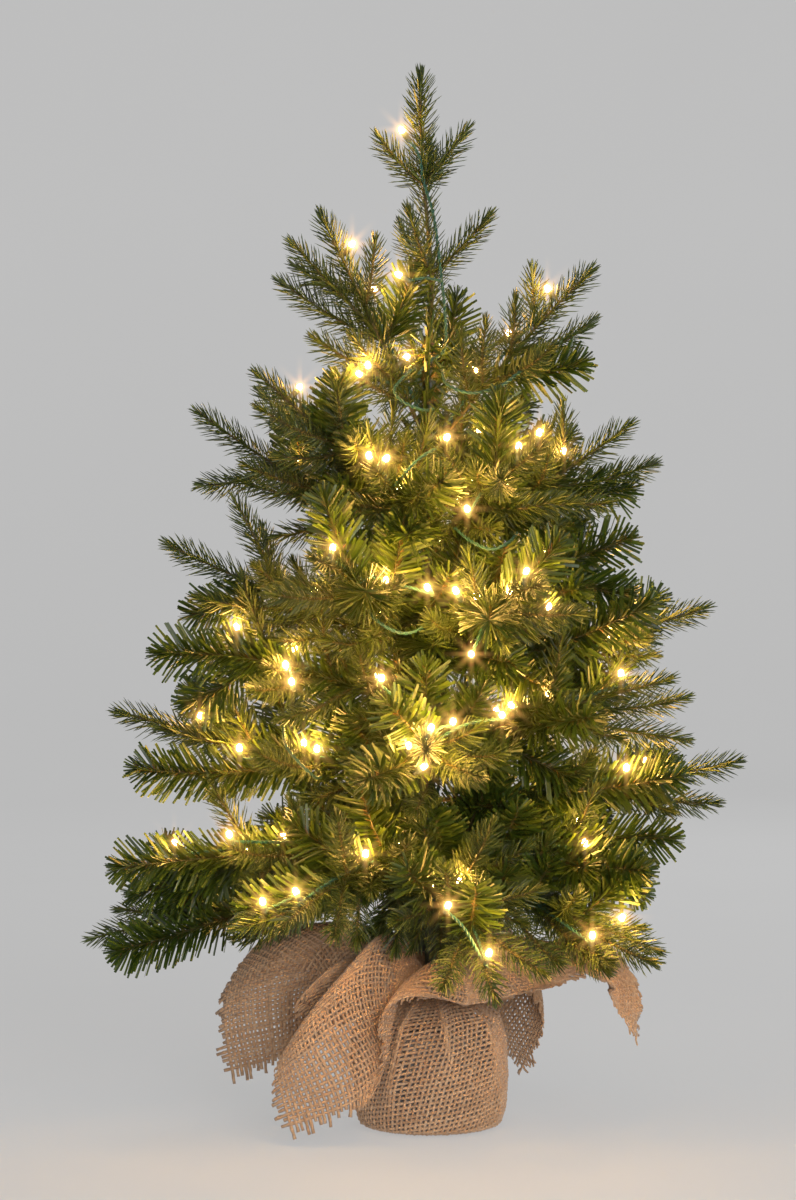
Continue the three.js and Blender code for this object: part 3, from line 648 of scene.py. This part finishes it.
# Branches that start high carry fewer fillers, and the lowest ones none that hang down.
FILLER_PLACES_ABOVE = [(570, FILLER_PLACES[4::3]), (470, FILLER_PLACES[2:]), (0, FILLER_PLACES)]
HANGING_ABOVE = 220


def put_fillers(part, branch, rng):
    turn = rng.uniform(0, 2 * math.pi)
    places = next(places for height, places in FILLER_PLACES_ABOVE if branch.root > height)
    for number, place in enumerate(places):
        start = branch_point(branch, place)
        along = unit(branch_point(branch, place + 0.01) - start)
        level = unit(np.cross([0, 0, 1], along))
        upright = np.cross(along, level)
        turn += FILLER_TURN
        rise = math.sin(turn) if branch.root > HANGING_ABOVE else abs(math.sin(turn))
        out = level * math.cos(turn) + upright * rise
        way = unit(along * math.cos(FILLER_ANGLE) + out * math.sin(FILLER_ANGLE) + [0, 0, FILLER_RISE])
        kind = FILLER_KINDS[number % len(FILLER_KINDS)]
        put_tip(part, start, start + way * rng.uniform(*FILLER_LENGTH), kind, rng)


# Moulded tips of the lowest branches that hang over the burlap: the place on the stem, and the end.
SKIRT_TIPS = {
    "lower_right": [(0.3, (108, -116, 148)), (0.45, (146, -120, 142)), (0.6, (186, -118, 150))],
    "lower_front": [(0.1, (-18, -64, 152)), (0.16, (30, -72, 150)), (0.2, (8, -92, 148))],
    "lower_front_left": [(0.1, (-44, -56, 160)), (0.18, (-30, -84, 152))],
    "lower_left": [(0.08, (-56, -22, 158))],
}
INNER_START = 0.1  # place on a stem where its inner needles begin
INNER_FULLNESS = 0.8


def make_branch(branch, rng):
    """One branch: its stem, inner and outer needles, side tips, fillers and any skirt tips."""
    part = Part()
    last = 1 - TIP_CLOSED / line_length(branch_point(branch, np.linspace(0, 1, STEM_POINTS)))
    stem = branch_point(branch, np.linspace(0, last, STEM_POINTS))
    put_tube(part, stem, np.linspace(*STEM_RADII, STEM_POINTS), 8, STEM)
    outer = max(fork for fork, _, _ in branch.tips)
    inside = branch_point(branch, np.linspace(INNER_START, outer, 20))
    put_needles(part, inside, rng, branch.tips[0][2], pointed=False, fullness=INNER_FULLNESS)
    put_needles(part, branch_point(branch, np.linspace(outer, last, 24)), rng, branch.kind)
    for fork, end, kind in branch.tips:
        put_tip(part, branch_point(branch, fork), end, kind, rng)
    put_fillers(part, branch, rng)
    for place, end in SKIRT_TIPS.get(branch.name, []):
        put_tip(part, branch_point(branch, place), end, "m", rng)
    part.finish(branch.name + "_foliage", branch.name, "foliage", branch.name + "_branch")


def make_leader(rng):
    part = Part()
    line = smooth_line(LEADER_PATH, 10)
    line = line[line[:, 2] < LEADER_PATH[-1][2] - TIP_CLOSED]
    put_tube(part, line, np.linspace(*LEADER_RADII, len(line)), 8, STEM)
    put_needles(part, line[line[:, 2] > LEADER_PATH[1][2]], rng, "m")
    for start, ends in LEADER_WHORLS:
        for end in ends:
            put_tip(part, start, end, "m", rng)
    part.finish("leader_foliage", "root", "foliage", "leader")


# ---- Light string ----
POINTS_A_TURN = 7
LATHE_SIDES = 12
OFF_AXIS = (0.3, 0.9, 0.2)  # a direction that no lamp points in
LAMP_SETBACK = 0.02  # a lamp's foot is this far before its place on the stem


def put_twisted_pair(part, points, radius=WIRE_RADIUS, twist=WIRE_TWIST, material=WIRE):
    length = line_length(points)
    line = resample(points, max(int(POINTS_A_TURN * length / twist), 6))
    _, side, over = curve_frames(line)
    turn = np.linspace(0, 2 * np.pi * length / twist, len(line))
    for phase in (0, np.pi):
        put_tube(part, line + turned(side, over, turn + phase) * radius, radius, 6, material)


def put_lead(part, *route):
    put_twisted_pair(part, smooth_line(route, 12))


def put_lathe(part, foot, direction, profile, material):
    """A closed solid of revolution: profile holds (radius, height) pairs from its foot to its top."""
    direction = unit(np.asarray(direction, float))
    across = unit(np.cross(direction, OFF_AXIS))
    over = np.cross(direction, across)
    rim = turned(across, over, corner_angles(LATHE_SIDES))
    points = np.concatenate([foot + direction * h + rim * r for r, h in profile])
    part.put(points, ring_faces(len(profile), LATHE_SIDES), material, 0.5, 0.5)


HOLDER_PROFILE = [(1.2, -2.2), (2.3, -1.8), (2.5, 0), (2.5, 3.4), (2.7, 3.6), (2.7, 4.6), (2.45, 4.9),
                  (2.45, 7.6), (2.1, 7.9)]
LAMP_PROFILE = [(1.2, 7.4), (2.15, 7.6), (2.3, 8.6), (2.25, 10.4), (1.9, 11.9), (1.2, 12.8), (0.4, 13.1)]


def make_lamps(name, body, lamps):
    """The holders of some lamps as one piece, and their glowing caps as another with their light.
    lamps: the foot of each, and the way it points."""
    holders, caps = Part(), Part()
    for foot, way in lamps:
        put_lathe(holders, foot, way, HOLDER_PROFILE, HOLDER)
        put_lathe(caps, foot, way, LAMP_PROFILE, LAMP)
    holders.finish(name + "_lamp_holders", body, "light_wire", smooth=True)
    glowing = caps.finish(name + "_lamps", body, "lamp", smooth=True)
    for number, (foot, way) in enumerate(lamps):
        light = bpy.data.lights.new(f"{name}_glow_{number}", "POINT")
        light.energy = np.interp(foot[2], GLOW_FADES, (GLOW_POWER, GLOW_POWER_TOP))
        light.color = GLOW_COLOUR
        light.shadow_soft_size = GLOW_RADIUS * MM
        glow = add_object(light.name, light)
        glow.parent = glowing
        glow.location = (foot + unit(way) * GLOW_HEIGHT) * MM


TIP_LAMP_WAY = np.array([0, -0.5, 0.85])  # lamps on side tips stand up and look to the front
FRONT_LAMP_WAY = np.array([0, -0.9, 0.4])
LAMP_SWAY, TIP_LAMP_SWAY, FRONT_LAMP_SWAY = 0.3, 0.15, 0.2  # how unevenly the lamps of each kind point
# Lamps that stand out in front of the needles: where the lead of each leaves the stem, and its reach.
FRONT_LAMPS = {
    "upper_left": [(0.3, (-22, -44, -14))],
    "second_front": [(0.7, (-14, -2, 18)), (0.65, (44, 0, 38))],
    "second_right_front": [(0.55, (-22, -36, -24))],
    "third_front_left": [(0.6, (22, -10, 0)), (0.5, (50, -34, 0))],
    "third_front_right": [(0.6, (10, -4, 6)), (0.6, (-22, -24, -42))],
    "fourth_left_upper": [(0.5, (8, -70, -16))],
    "fourth_front": [(0.65, (-38, -4, 50)), (0.7, (20, -4, 16)), (0.75, (-8, -4, -20)),
                     (0.65, (60, -4, 22))],
    "lower_front": [(0.8, (-30, -30, 44))],
}


def make_branch_lights(branch, rng):
    """The wires along a branch, and its lamps on the stem, on side tips and on leads of their own."""
    places = np.linspace(LAMP_SETBACK, branch.lamps[-1], 12)
    line = np.array([branch_point(branch, p) + wire_side(branch, p) * CORD_OFFSET for p in places])
    part = Part()
    put_twisted_pair(part, smooth_line(line, 4))
    lamps = []
    for place in branch.lamps:
        square = wire_side(branch, place - LAMP_SETBACK)
        foot = branch_point(branch, place - LAMP_SETBACK) + square * CORD_OFFSET
        lamps.append((foot, square + rng.normal(0, LAMP_SWAY, 3)))
    for number, place in TIP_LAMPS.get(branch.name, []):
        fork, end, _ = branch.tips[number]
        start = branch_point(branch, fork)
        foot = start + (end - start) * place + unit(TIP_LAMP_WAY) * CORD_OFFSET
        put_lead(part, start + [0, 0, CORD_OFFSET], (start + foot) / 2 + [0, -3, 3], foot)
        lamps.append((foot, TIP_LAMP_WAY + rng.normal(0, TIP_LAMP_SWAY, 3)))
    for place, lead in FRONT_LAMPS.get(branch.name, []):
        start = branch_point(branch, place)
        foot = start + lead
        put_lead(part, start, (start + foot) / 2 + [0, 0, 6], foot)
        lamps.append((foot, FRONT_LAMP_WAY + rng.normal(0, FRONT_LAMP_SWAY, 3)))
    node = branch.name + "_lights"  # only some branches' wires are a node of the CAD model
    part.finish(branch.name + "_light_wires", branch.name, "light_wire",
                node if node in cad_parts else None, smooth=True)
    make_lamps(branch.name, branch.name, lamps)


# Slack loops of the light wires in front of the tree: the branch that carries each, and its route.
WIRE_LOOPS = [
    ("upper_right", [(10, -22, 640), (14, -46, 626), (34, -58, 618), (58, -56, 624), (74, -44, 636),
                     (84, -28, 640)]),
    ("upper_left", [(-16, -24, 640), (-30, -46, 622), (-22, -60, 610), (-6, -52, 604), (2, -30, 606)]),
    ("third_right_upper", [(20, -60, 506), (34, -84, 494), (50, -92, 488), (64, -84, 494), (72, -58, 502)]),
    ("fourth_left", [(-124, -20, 340), (-120, -62, 326), (-108, -78, 312), (-96, -70, 300), (-92, -40, 298)]),
    ("third_front_left", [(-56, -96, 446), (-44, -124, 430), (-24, -130, 420), (-8, -114, 424),
                          (2, -82, 436)]),
]


def make_wire_loops():
    for number, (body, route) in enumerate(WIRE_LOOPS, 1):
        part = Part()
        put_twisted_pair(part, smooth_line(route, 8))
        part.finish(f"wire_loop_{number}", body, "light_wire", smooth=True)


# Lamps on the pole's wires: the place where each leaves them, its short lead, and the way it points.
POLE_LAMPS = [
    (0.995, (-10, -2, 16), (-0.7, -0.3, 1.0)),
    (0.83, (-28, -6, 0), (-0.9, -0.3, 0.5)),
    (0.4, (6, 6, 0), (1.0, 1.0, 0.0)),
]
POLE_STEPS = 200  # places along the pole's wires


def make_pole_lights():
    line = smooth_line(POLE_LIGHTS_PATH, 6)
    even = resample(line, POLE_STEPS + 1)
    part = Part()
    put_twisted_pair(part, line)
    lamps = []
    for place, lead, way in POLE_LAMPS:
        start = even[int(POLE_STEPS * place)]
        put_lead(part, start, start + np.multiply(lead, 0.5) + [0, -3, 2], start + lead)
        lamps.append((start + lead, way))
    part.finish("pole_light_wires", "root", "light_wire", "pole_lights", smooth=True)
    make_lamps("pole", "root", lamps)


# ---- Burlap: one square of open-weave cloth, gathered round the weight and tied at its neck ----
CLOTH_SIDE = 600
YARN_PITCH = 4.3
YARN_WIDTH = 3.0
YARN_THICK = 1.1
YARN_LIFT = 0.5  # how far a yarn rises and falls at each crossing
YARN_SHIFT = 0.35  # how unevenly the yarns lie side by side
YARN_SLUBS = (0.74, 1.2)  # the least and greatest share of its size along a yarn
YARN_TONES = (0.5, 0.11)  # middle and spread of the yarns' shades
CLOTH_LOWEST = 1.6  # height of the middle of the cloth where it lies on the floor
FRAY = (3, 13)  # how far the yarns run on past the last cross yarn, shortest and longest
SACK_PROFILE = [(0, 1.5), (53, 1.5), (60, 4), (63.5, 16), (65, 45), (63.5, 74), (57, 93), (41, 105),
                (25, 113), (17.5, 121)]
SACK_REACH = 62  # the wall's middle distance from the pole's axis
SACK_HOLE = 26  # the hidden cloth under the weight starts this far from the middle
SACK_YARNS = 96
SACK_TILT = 0.0038  # turn of the upright yarns for each millimetre up the sack, radians
SACK_RISE = 20  # yarn pitches that a level yarn climbs in one turn
# Folds in the sack's wall: azimuth at the bottom, lean, width, height of the ridge, its place along
# the wall where it starts.
SACK_FOLDS = [(-124, 0.30, 9, 6.5, 66), (-33, -0.16, 8, 5.5, 84), (30, 0.1, 9, 5, 80), (86, 0.2, 10, 6, 70),
              (150, -0.2, 9, 5.5, 76), (-170, 0.15, 8, 5, 84), (-70, -0.25, 7, 4.5, 104)]
# The lines that the corners of the cloth fall along from the neck, the way each is wide, how wide
# it is to each side, and the depth and turns of its folds.
CORNERS = [
    dict(line=[(-12, -12, 121), (-20, -27, 144), (-44, -56, 141), (-71, -81, 108), (-92, -94, 58),
               (-117, -92, 6)], across=(0.86, -0.5, 0.1), reach=50, depth=23, waves=3.1, phase=0.9),
    dict(line=[(16, -4, 121), (30, -8, 146), (66, -12, 150), (100, -6, 142), (134, -18, 146), (160, -12, 126),
               (172, -20, 96), (176, -18, 80)], across=(0.25, 0.8, 0.55), reach=34, depth=13, waves=1.9,
         phase=2.2),
    dict(line=[(13, 11, 121), (24, 26, 148), (38, 47, 160), (54, 67, 157), (66, 80, 138), (72, 86, 112),
               (75, 89, 84)], across=(-0.5, 0.8, 0.0), reach=34, depth=12, waves=2.1, phase=1.0),
    dict(line=[(-16, 4, 121), (-34, 8, 144), (-72, 20, 143), (-112, 34, 120), (-146, 46, 78),
               (-174, 54, 32)], across=(-0.8, 0.25, 0.55), reach=52, depth=12, waves=2.0, phase=2.8),
]
# The lines of the cloth half way between one corner and the next; the front one rolls under.
SIDES = [
    [(3, -16, 121), (6, -26, 136), (14, -42, 143), (26, -58, 136), (33, -67, 122), (30, -66, 111),
     (24, -62, 114)],
    [(16, 5, 121), (31, 9, 141), (54, 17, 137), (69, 23, 121), (72, 25, 106), (64, 22, 104)],
    [(-2, 16, 121), (-5, 31, 142), (-9, 54, 136), (-11, 68, 118), (-12, 72, 98)],
    [(-16, -3, 121), (-31, -7, 142), (-54, -14, 138), (-70, -18, 122), (-73, -20, 104)],
]


def ease(x, start, end):
    """0 before start, 1 after end, and a smooth rise between them."""
    x = np.clip((x - start) / (end - start), 0, 1)
    return x * x * (3 - 2 * x)


SACK_WALL = line_length(np.array(SACK_PROFILE, float))
CORNER_LINES = [smooth_line(corner["line"], 8) for corner in CORNERS]
SIDE_LINES = [smooth_line(side, 8) for side in SIDES]


def hung_cloth(u, v):
    """Where the cloth outside the neck lies: u and v are places on the flat square."""
    s = np.hypot(u, v)
    azimuth = np.arctan2(v, u) % (2 * np.pi)
    number = np.minimum((azimuth / (np.pi / 2)).astype(int), 3)
    turn = azimuth - (number + 0.5) * np.pi / 2  # from the corner's diagonal, -45 to 45 degrees
    beyond = np.maximum(s - SACK_WALL, 0)
    lateral = s * np.sin(turn)
    # The share of its flat width that the gathered cloth keeps: it opens out away from the neck.
    kept = 0.1 + 0.22 * ease(beyond, 0, 94) + 0.6 * ease(beyond, 70, 190)
    out = np.empty((*u.shape, 3))
    for k, corner in enumerate(CORNERS):
        mine = number == k
        e = beyond[mine]
        middle = polyline(CORNER_LINES[k], e)
        along = unit(polyline(CORNER_LINES[k], e + 2) - polyline(CORNER_LINES[k], np.maximum(e - 2, 0)))
        wide = np.array(corner["across"], float)
        wide = unit(wide - along * (along @ wide)[:, None])
        outward = np.cross(along, wide)
        flat = lateral[mine]
        place = turn[mine] / (np.pi / 4)
        width = corner["reach"] * np.tanh(flat * kept[mine] / corner["reach"])
        # Broad folds that die away at the tip, fine gathers at the neck, and a ripple along the leaf.
        broad = corner["depth"] * ease(e, 0, 60) * (1 - 0.5 * ease(e, 130, 220))
        wave = broad * np.sin(flat / 82 * corner["waves"] + corner["phase"] + e / 130)
        fine = 4.5 * ease(e, 0, 14) * (1 - ease(e, 10, 120))
        wave = wave + fine * np.sin(place * np.pi * 4.5 + corner["phase"] * 2)
        wave = wave + 2.5 * ease(e, 0, 80) * np.sin(e / 19 + corner["phase"] + flat / 37)
        leaf = middle + wide * width[:, None] + outward * wave[:, None]
        side = np.where((place > 0)[:, None], polyline(SIDE_LINES[k], e), polyline(SIDE_LINES[k - 1], e))
        share = ease(np.abs(place), 0.5, 1)[:, None]
        out[mine] = leaf * (1 - share) + side * share
    out[..., 2] = np.maximum(out[..., 2], CLOTH_LOWEST)
    return out


def sack_cloth(angle, s):
    """The gathered cloth round the weight: angle about the pole and distance from the middle."""
    ring = polyline(SACK_PROFILE, s)
    shoulder = ease(s, 118, 193)
    wall = ease(s, 50, 90)
    # Waves of unlike numbers round the sack, so that no gather repeats its neighbour.
    gathers = np.sin(11 * angle + 1.6 * np.sin(2 * angle + 0.8))
    gathers = gathers + 0.45 * np.sin(19 * angle + 2 * np.sin(3 * angle))
    sway = np.sin(5 * angle + 0.9) + 0.6 * np.sin(8 * angle - 1.1)
    reach = ring[..., 0] + wall * (0.5 * sway + 0.5 * gathers) + shoulder * (1.9 * gathers + 0.6)
    shift = np.zeros_like(angle)
    for azimuth, lean, width, height, start in SACK_FOLDS:
        middle = math.radians(azimuth) + lean * (s - 60) / 130
        off = np.remainder(angle - middle + np.pi, 2 * np.pi) - np.pi
        near = off * SACK_REACH / width
        grown = ease(s, start, start + 40) * (1 - 0.55 * ease(s, 175, 197))
        # A ridge with a shallow valley on each side; its cloth is drawn in towards it.
        reach = reach + grown * height * (np.exp(-near**2) - 0.3 * np.exp(-(np.abs(near) - 1.9) ** 2))
        shift = shift - grown * 0.55 * off * np.exp(-near**2)
    twist = angle + shift + 0.03 * shoulder * np.sin(7 * angle)
    height = ring[..., 1] + 0.8 * shoulder * sway
    return on_circle(reach, twist, height)


def put_yarn(part, points, normals, tone, rng):
    """One yarn as a closed three-sided strand through points, one point at each crossing."""
    count = len(points)
    across = unit(np.cross(np.gradient(points, axis=0), normals))
    thick = rng.uniform(*YARN_SLUBS, count)[:, None]
    corners = np.stack([points - across * YARN_WIDTH / 2 * thick - normals * YARN_THICK / 3,
                        points + across * YARN_WIDTH / 2 * thick - normals * YARN_THICK / 3,
                        points + normals * YARN_THICK * 2 / 3 * thick], axis=1)
    part.put(corners.reshape(-1, 3), ring_faces(count, 3), BURLAP, tone, 0.5)


def weave(part, points, shown, rng):
    """Warp and weft through a grid of crossings. shown says where the yarns of each way run."""
    normals = unit(np.cross(np.gradient(points, axis=0), np.gradient(points, axis=1)))
    rows, columns = points.shape[:2]
    over = (np.add.outer(np.arange(rows), np.arange(columns)) % 2) * 2 - 1
    for way, present in zip((1, -1), shown):
        lifted = points + normals * (over * way * YARN_LIFT)[..., None]
        grids = (lifted, normals, present)
        if way < 0:
            grids = (grid.swapaxes(0, 1) for grid in grids)
        for line, normal, here in zip(*grids):
            edges = np.flatnonzero(np.diff(np.concatenate([[0], here.astype(int), [0]])))
            for start, stop in zip(edges[::2], edges[1::2]):
                if stop - start > 1:
                    tone = np.clip(rng.normal(*YARN_TONES), 0, 1)
                    put_yarn(part, line[start:stop], normal[start:stop], tone, rng)


def weave_flaps(part, rng):
    """The cloth beyond the neck, on the square's own grid, with its frayed edges."""
    half = CLOTH_SIDE / 2
    count = int((half + FRAY[1]) / YARN_PITCH)
    flat = np.arange(-count, count + 1) * YARN_PITCH
    rest_u, rest_v = np.meshgrid(flat, flat, indexing="ij")
    # Yarns shift a little in the open weave.
    u = rest_u + rng.normal(0, YARN_SHIFT, len(flat))[:, None] + 0.6 * np.sin(rest_v / 31)
    v = rest_v + rng.normal(0, YARN_SHIFT, len(flat))[None, :] + 0.6 * np.sin(rest_u / 27)
    outside = np.hypot(u, v) > SACK_WALL - 3
    ends = half + rng.uniform(*FRAY, (2, len(flat)))
    warp = outside & (np.abs(rest_u) <= half) & (np.abs(rest_v) <= ends[0][:, None])
    weft = outside & (np.abs(rest_v) <= half) & (np.abs(rest_u) <= ends[1][None, :])
    weave(part, hung_cloth(u, v), (warp, weft), rng)


def weave_sack(part, rng):
    """The cloth round the weight, its yarns leaning as they do where a square is gathered."""
    turns = np.arange(SACK_YARNS + 1) / SACK_YARNS
    levels = np.arange(-SACK_RISE, int(SACK_WALL / YARN_PITCH) + 1)
    turn, level = np.meshgrid(turns, levels, indexing="ij")
    s = (level + SACK_RISE * turn) * YARN_PITCH
    angle = 2 * np.pi * turn + SACK_TILT * s + 0.012 * np.sin(s / 17)
    inside = (s > SACK_HOLE) & (s < SACK_WALL)
    weave(part, sack_cloth(angle, np.maximum(s, 0)), (inside, inside), rng)


def make_burlap(rng):
    part = Part()
    weave_flaps(part, rng)
    weave_sack(part, rng)
    cloth = part.finish("burlap_cloth", "root", "burlap", "burlap_wrap", smooth=True)


TIE_HEIGHT = 122
TIE_REACH = 19.3
TIE_TURNS = 3
TIE_RISE = 2.3  # height of one turn of twine
TWINE_RADIUS = 0.75
TWINE_TWIST = 4.5


def make_neck_tie():
    """Twisted twine wound round the gathered neck, with a knot and two short ends in front."""
    part = Part()
    angle = np.linspace(-0.5 * np.pi, (2 * TIE_TURNS - 0.5) * np.pi, 150)
    height = TIE_HEIGHT - TIE_RISE * TIE_TURNS / 2 + TIE_RISE * (angle - angle[0]) / (2 * np.pi)
    wound = on_circle(TIE_REACH, angle, height)
    front = np.array([0, -TIE_REACH - 1, TIE_HEIGHT])
    turn = np.linspace(0, 4 * np.pi, 40)
    knot = front + np.stack([2.2 * np.cos(turn), -1.2 * np.sin(turn / 2), 2.4 * np.sin(turn)], axis=1)
    ends = [smooth_line([front, front + (6, -5, 3), front + (13, -6, -2), front + (17, -7, -11)]),
            smooth_line([front, front + (-5, -5, 4), front + (-11, -7, 0), front + (-14, -8, -8)])]
    for line in (wound, knot, *ends):
        put_twisted_pair(part, line, TWINE_RADIUS, TWINE_TWIST, TWINE)
    part.finish("neck_twine", "root", "twine", "neck_tie", smooth=True)


# ---- Pole ----
GARLAND_BOTTOM, GARLAND_TOP = 566, 664
GARLAND_PITCH = 10
GARLAND_REACH = 5.6  # from the pole's axis to the garland's core
GARLAND_FULLNESS = 0.3


def make_garland(rng):
    """Dark cut-film garland wound round the top of the pole."""
    part = Part()
    tall = GARLAND_TOP - GARLAND_BOTTOM
    t = np.linspace(0, 1, 240)
    angle = t * tall / GARLAND_PITCH * 2 * np.pi
    core = on_circle(GARLAND_REACH, angle, GARLAND_BOTTOM + tall * t)
    put_tube(part, core, 0.9, 6, STEM)
    put_needles(part, core, rng, "f", pointed=False, fullness=GARLAND_FULLNESS)
    part.finish("pole_garland", "root", "garland", "trunk_garland")


# ---- Camera, light and floor ----
VIEW_HEIGHT = 1.0188  # what the picture shows from bottom to top at the pole, metres
VIEW_MIDDLE = (-0.0272, 0.4456)  # across and up
CAMERA_DISTANCE = 2.6
CAMERA_HEIGHT = 0.47
SENSOR = 36


def make_camera():
    camera = bpy.data.cameras.new("camera")
    camera.sensor_fit = "VERTICAL"
    camera.sensor_height = SENSOR
    camera.lens = SENSOR * CAMERA_DISTANCE / VIEW_HEIGHT
    camera.clip_end = 50
    eye = add_object("camera", camera)
    eye.location = (VIEW_MIDDLE[0], -CAMERA_DISTANCE, CAMERA_HEIGHT)
    eye.rotation_euler = (math.radians(90), 0, 0)
    camera.shift_y = (VIEW_MIDDLE[1] - CAMERA_HEIGHT) / VIEW_HEIGHT
    bpy.context.scene.camera = eye


def area_light(name, place, target, size, power):
    light = bpy.data.lights.new(name, "AREA")
    light.shape = "DISK"
    light.size = size
    light.energy = power
    lamp = add_object(name, light)
    lamp.location = place
    direction = Vector(target) - Vector(place)
    lamp.rotation_euler = direction.to_track_quat("-Z", "Y").to_euler()


GLARES = [
    ("BLOOM", dict(Threshold=10.0, Strength=0.05, Size=0.2)),
    ("STREAKS", dict(Threshold=10.0, Strength=0.07, Streaks=8, Iterations=2, Fade=0.72)),
]


def make_lens_glare():
    """The small stars and glow that a lens puts round each lit lamp."""
    scene = bpy.context.scene
    scene.use_nodes = True
    tree = scene.node_tree
    tree.nodes.clear()
    image = add(tree, "CompositorNodeRLayers").outputs["Image"]
    for kind, settings in GLARES:
        glare = add(tree, "CompositorNodeGlare", glare_type=kind, **settings)
        tree.links.new(image, glare.inputs["Image"])
        image = glare.outputs["Image"]
    tree.links.new(image, add(tree, "CompositorNodeComposite").inputs["Image"])


STUDIO_FLOOR = 4.0  # radius of the flat floor, metres
STUDIO_CURVE = 1.4  # radius of the curve from the floor up to the wall
STUDIO_WALL = 3.2  # height of the wall
STUDIO_SIDES = 96
FLOOR_DROP = -0.0005  # keeps the floor just clear of the weight's underside
STUDIO_GLOW = 0.37
SKY = 0.28


def studio_paint():
    """Pale paint that glows a little, so that the round wall is as bright as the floor."""
    material, tree, shader = new_material("studio_paint")
    shade = ramp(tree, noise(tree, 2.0), [(0.3, (0.295, 0.295, 0.295)), (0.7, (0.305, 0.305, 0.305))])
    tree.links.new(shade, shader.inputs["Base Color"])
    set_sockets(shader, Roughness=0.9, Specular_IOR_Level=0.0, Emission_Color=(1, 1, 1, 1),
                Emission_Strength=STUDIO_GLOW)
    return material


def make_studio():
    """A round studio: a flat floor that curves up into a wall, the same from every side."""
    arc = np.linspace(0, np.pi / 2, 24)
    outline = [(0.01, 0), (STUDIO_FLOOR / 2, 0)]
    outline += [(STUDIO_FLOOR + STUDIO_CURVE * math.sin(a), STUDIO_CURVE * (1 - math.cos(a))) for a in arc]
    outline.append((STUDIO_FLOOR + STUDIO_CURVE, STUDIO_WALL))
    angle = corner_angles(STUDIO_SIDES)
    rings = [on_circle(r, angle, z) for r, z in outline]
    quads, ends = ring_faces(len(outline), STUDIO_SIDES)
    part = Part()
    part.put(np.concatenate(rings) / MM, [quads, ends[:1]], studio_paint(), 0.5, 0.5)
    floor = part.make("floor", smooth=True)
    floor.location.z = FLOOR_DROP
    world = bpy.data.worlds.new("studio")
    bpy.context.scene.world = world
    world.use_nodes = True
    set_sockets(world.node_tree.nodes["Background"], Color=(SKY, SKY, SKY, 1), Strength=1.0)
    area_light("key", (1.3, -2.5, 1.5), (0, 0, 0.4), 1.2, 17)
    area_light("fill", (0.6, -3.4, 0.9), (0, 0, 0.1), 1.2, 38)
    area_light("back", (1.2, 2.8, 2.0), (0, 0, 0.4), 1.4, 12)
    bpy.context.scene.view_settings.view_transform = "Standard"


# ---- Everything ----
make_camera()
make_studio()
finish_cad_nodes()
streams = np.random.SeedSequence(SEED).spawn(len(BRANCHES) * 2 + 3)
random = [np.random.default_rng(s) for s in streams]
for number, branch in enumerate(BRANCHES):
    make_branch(branch, random[2 * number])
    make_branch_lights(branch, random[2 * number + 1])
make_leader(random[-1])
make_garland(random[-2])
make_burlap(random[-3])
make_neck_tie()
make_pole_lights()
make_wire_loops()
make_lens_glare()
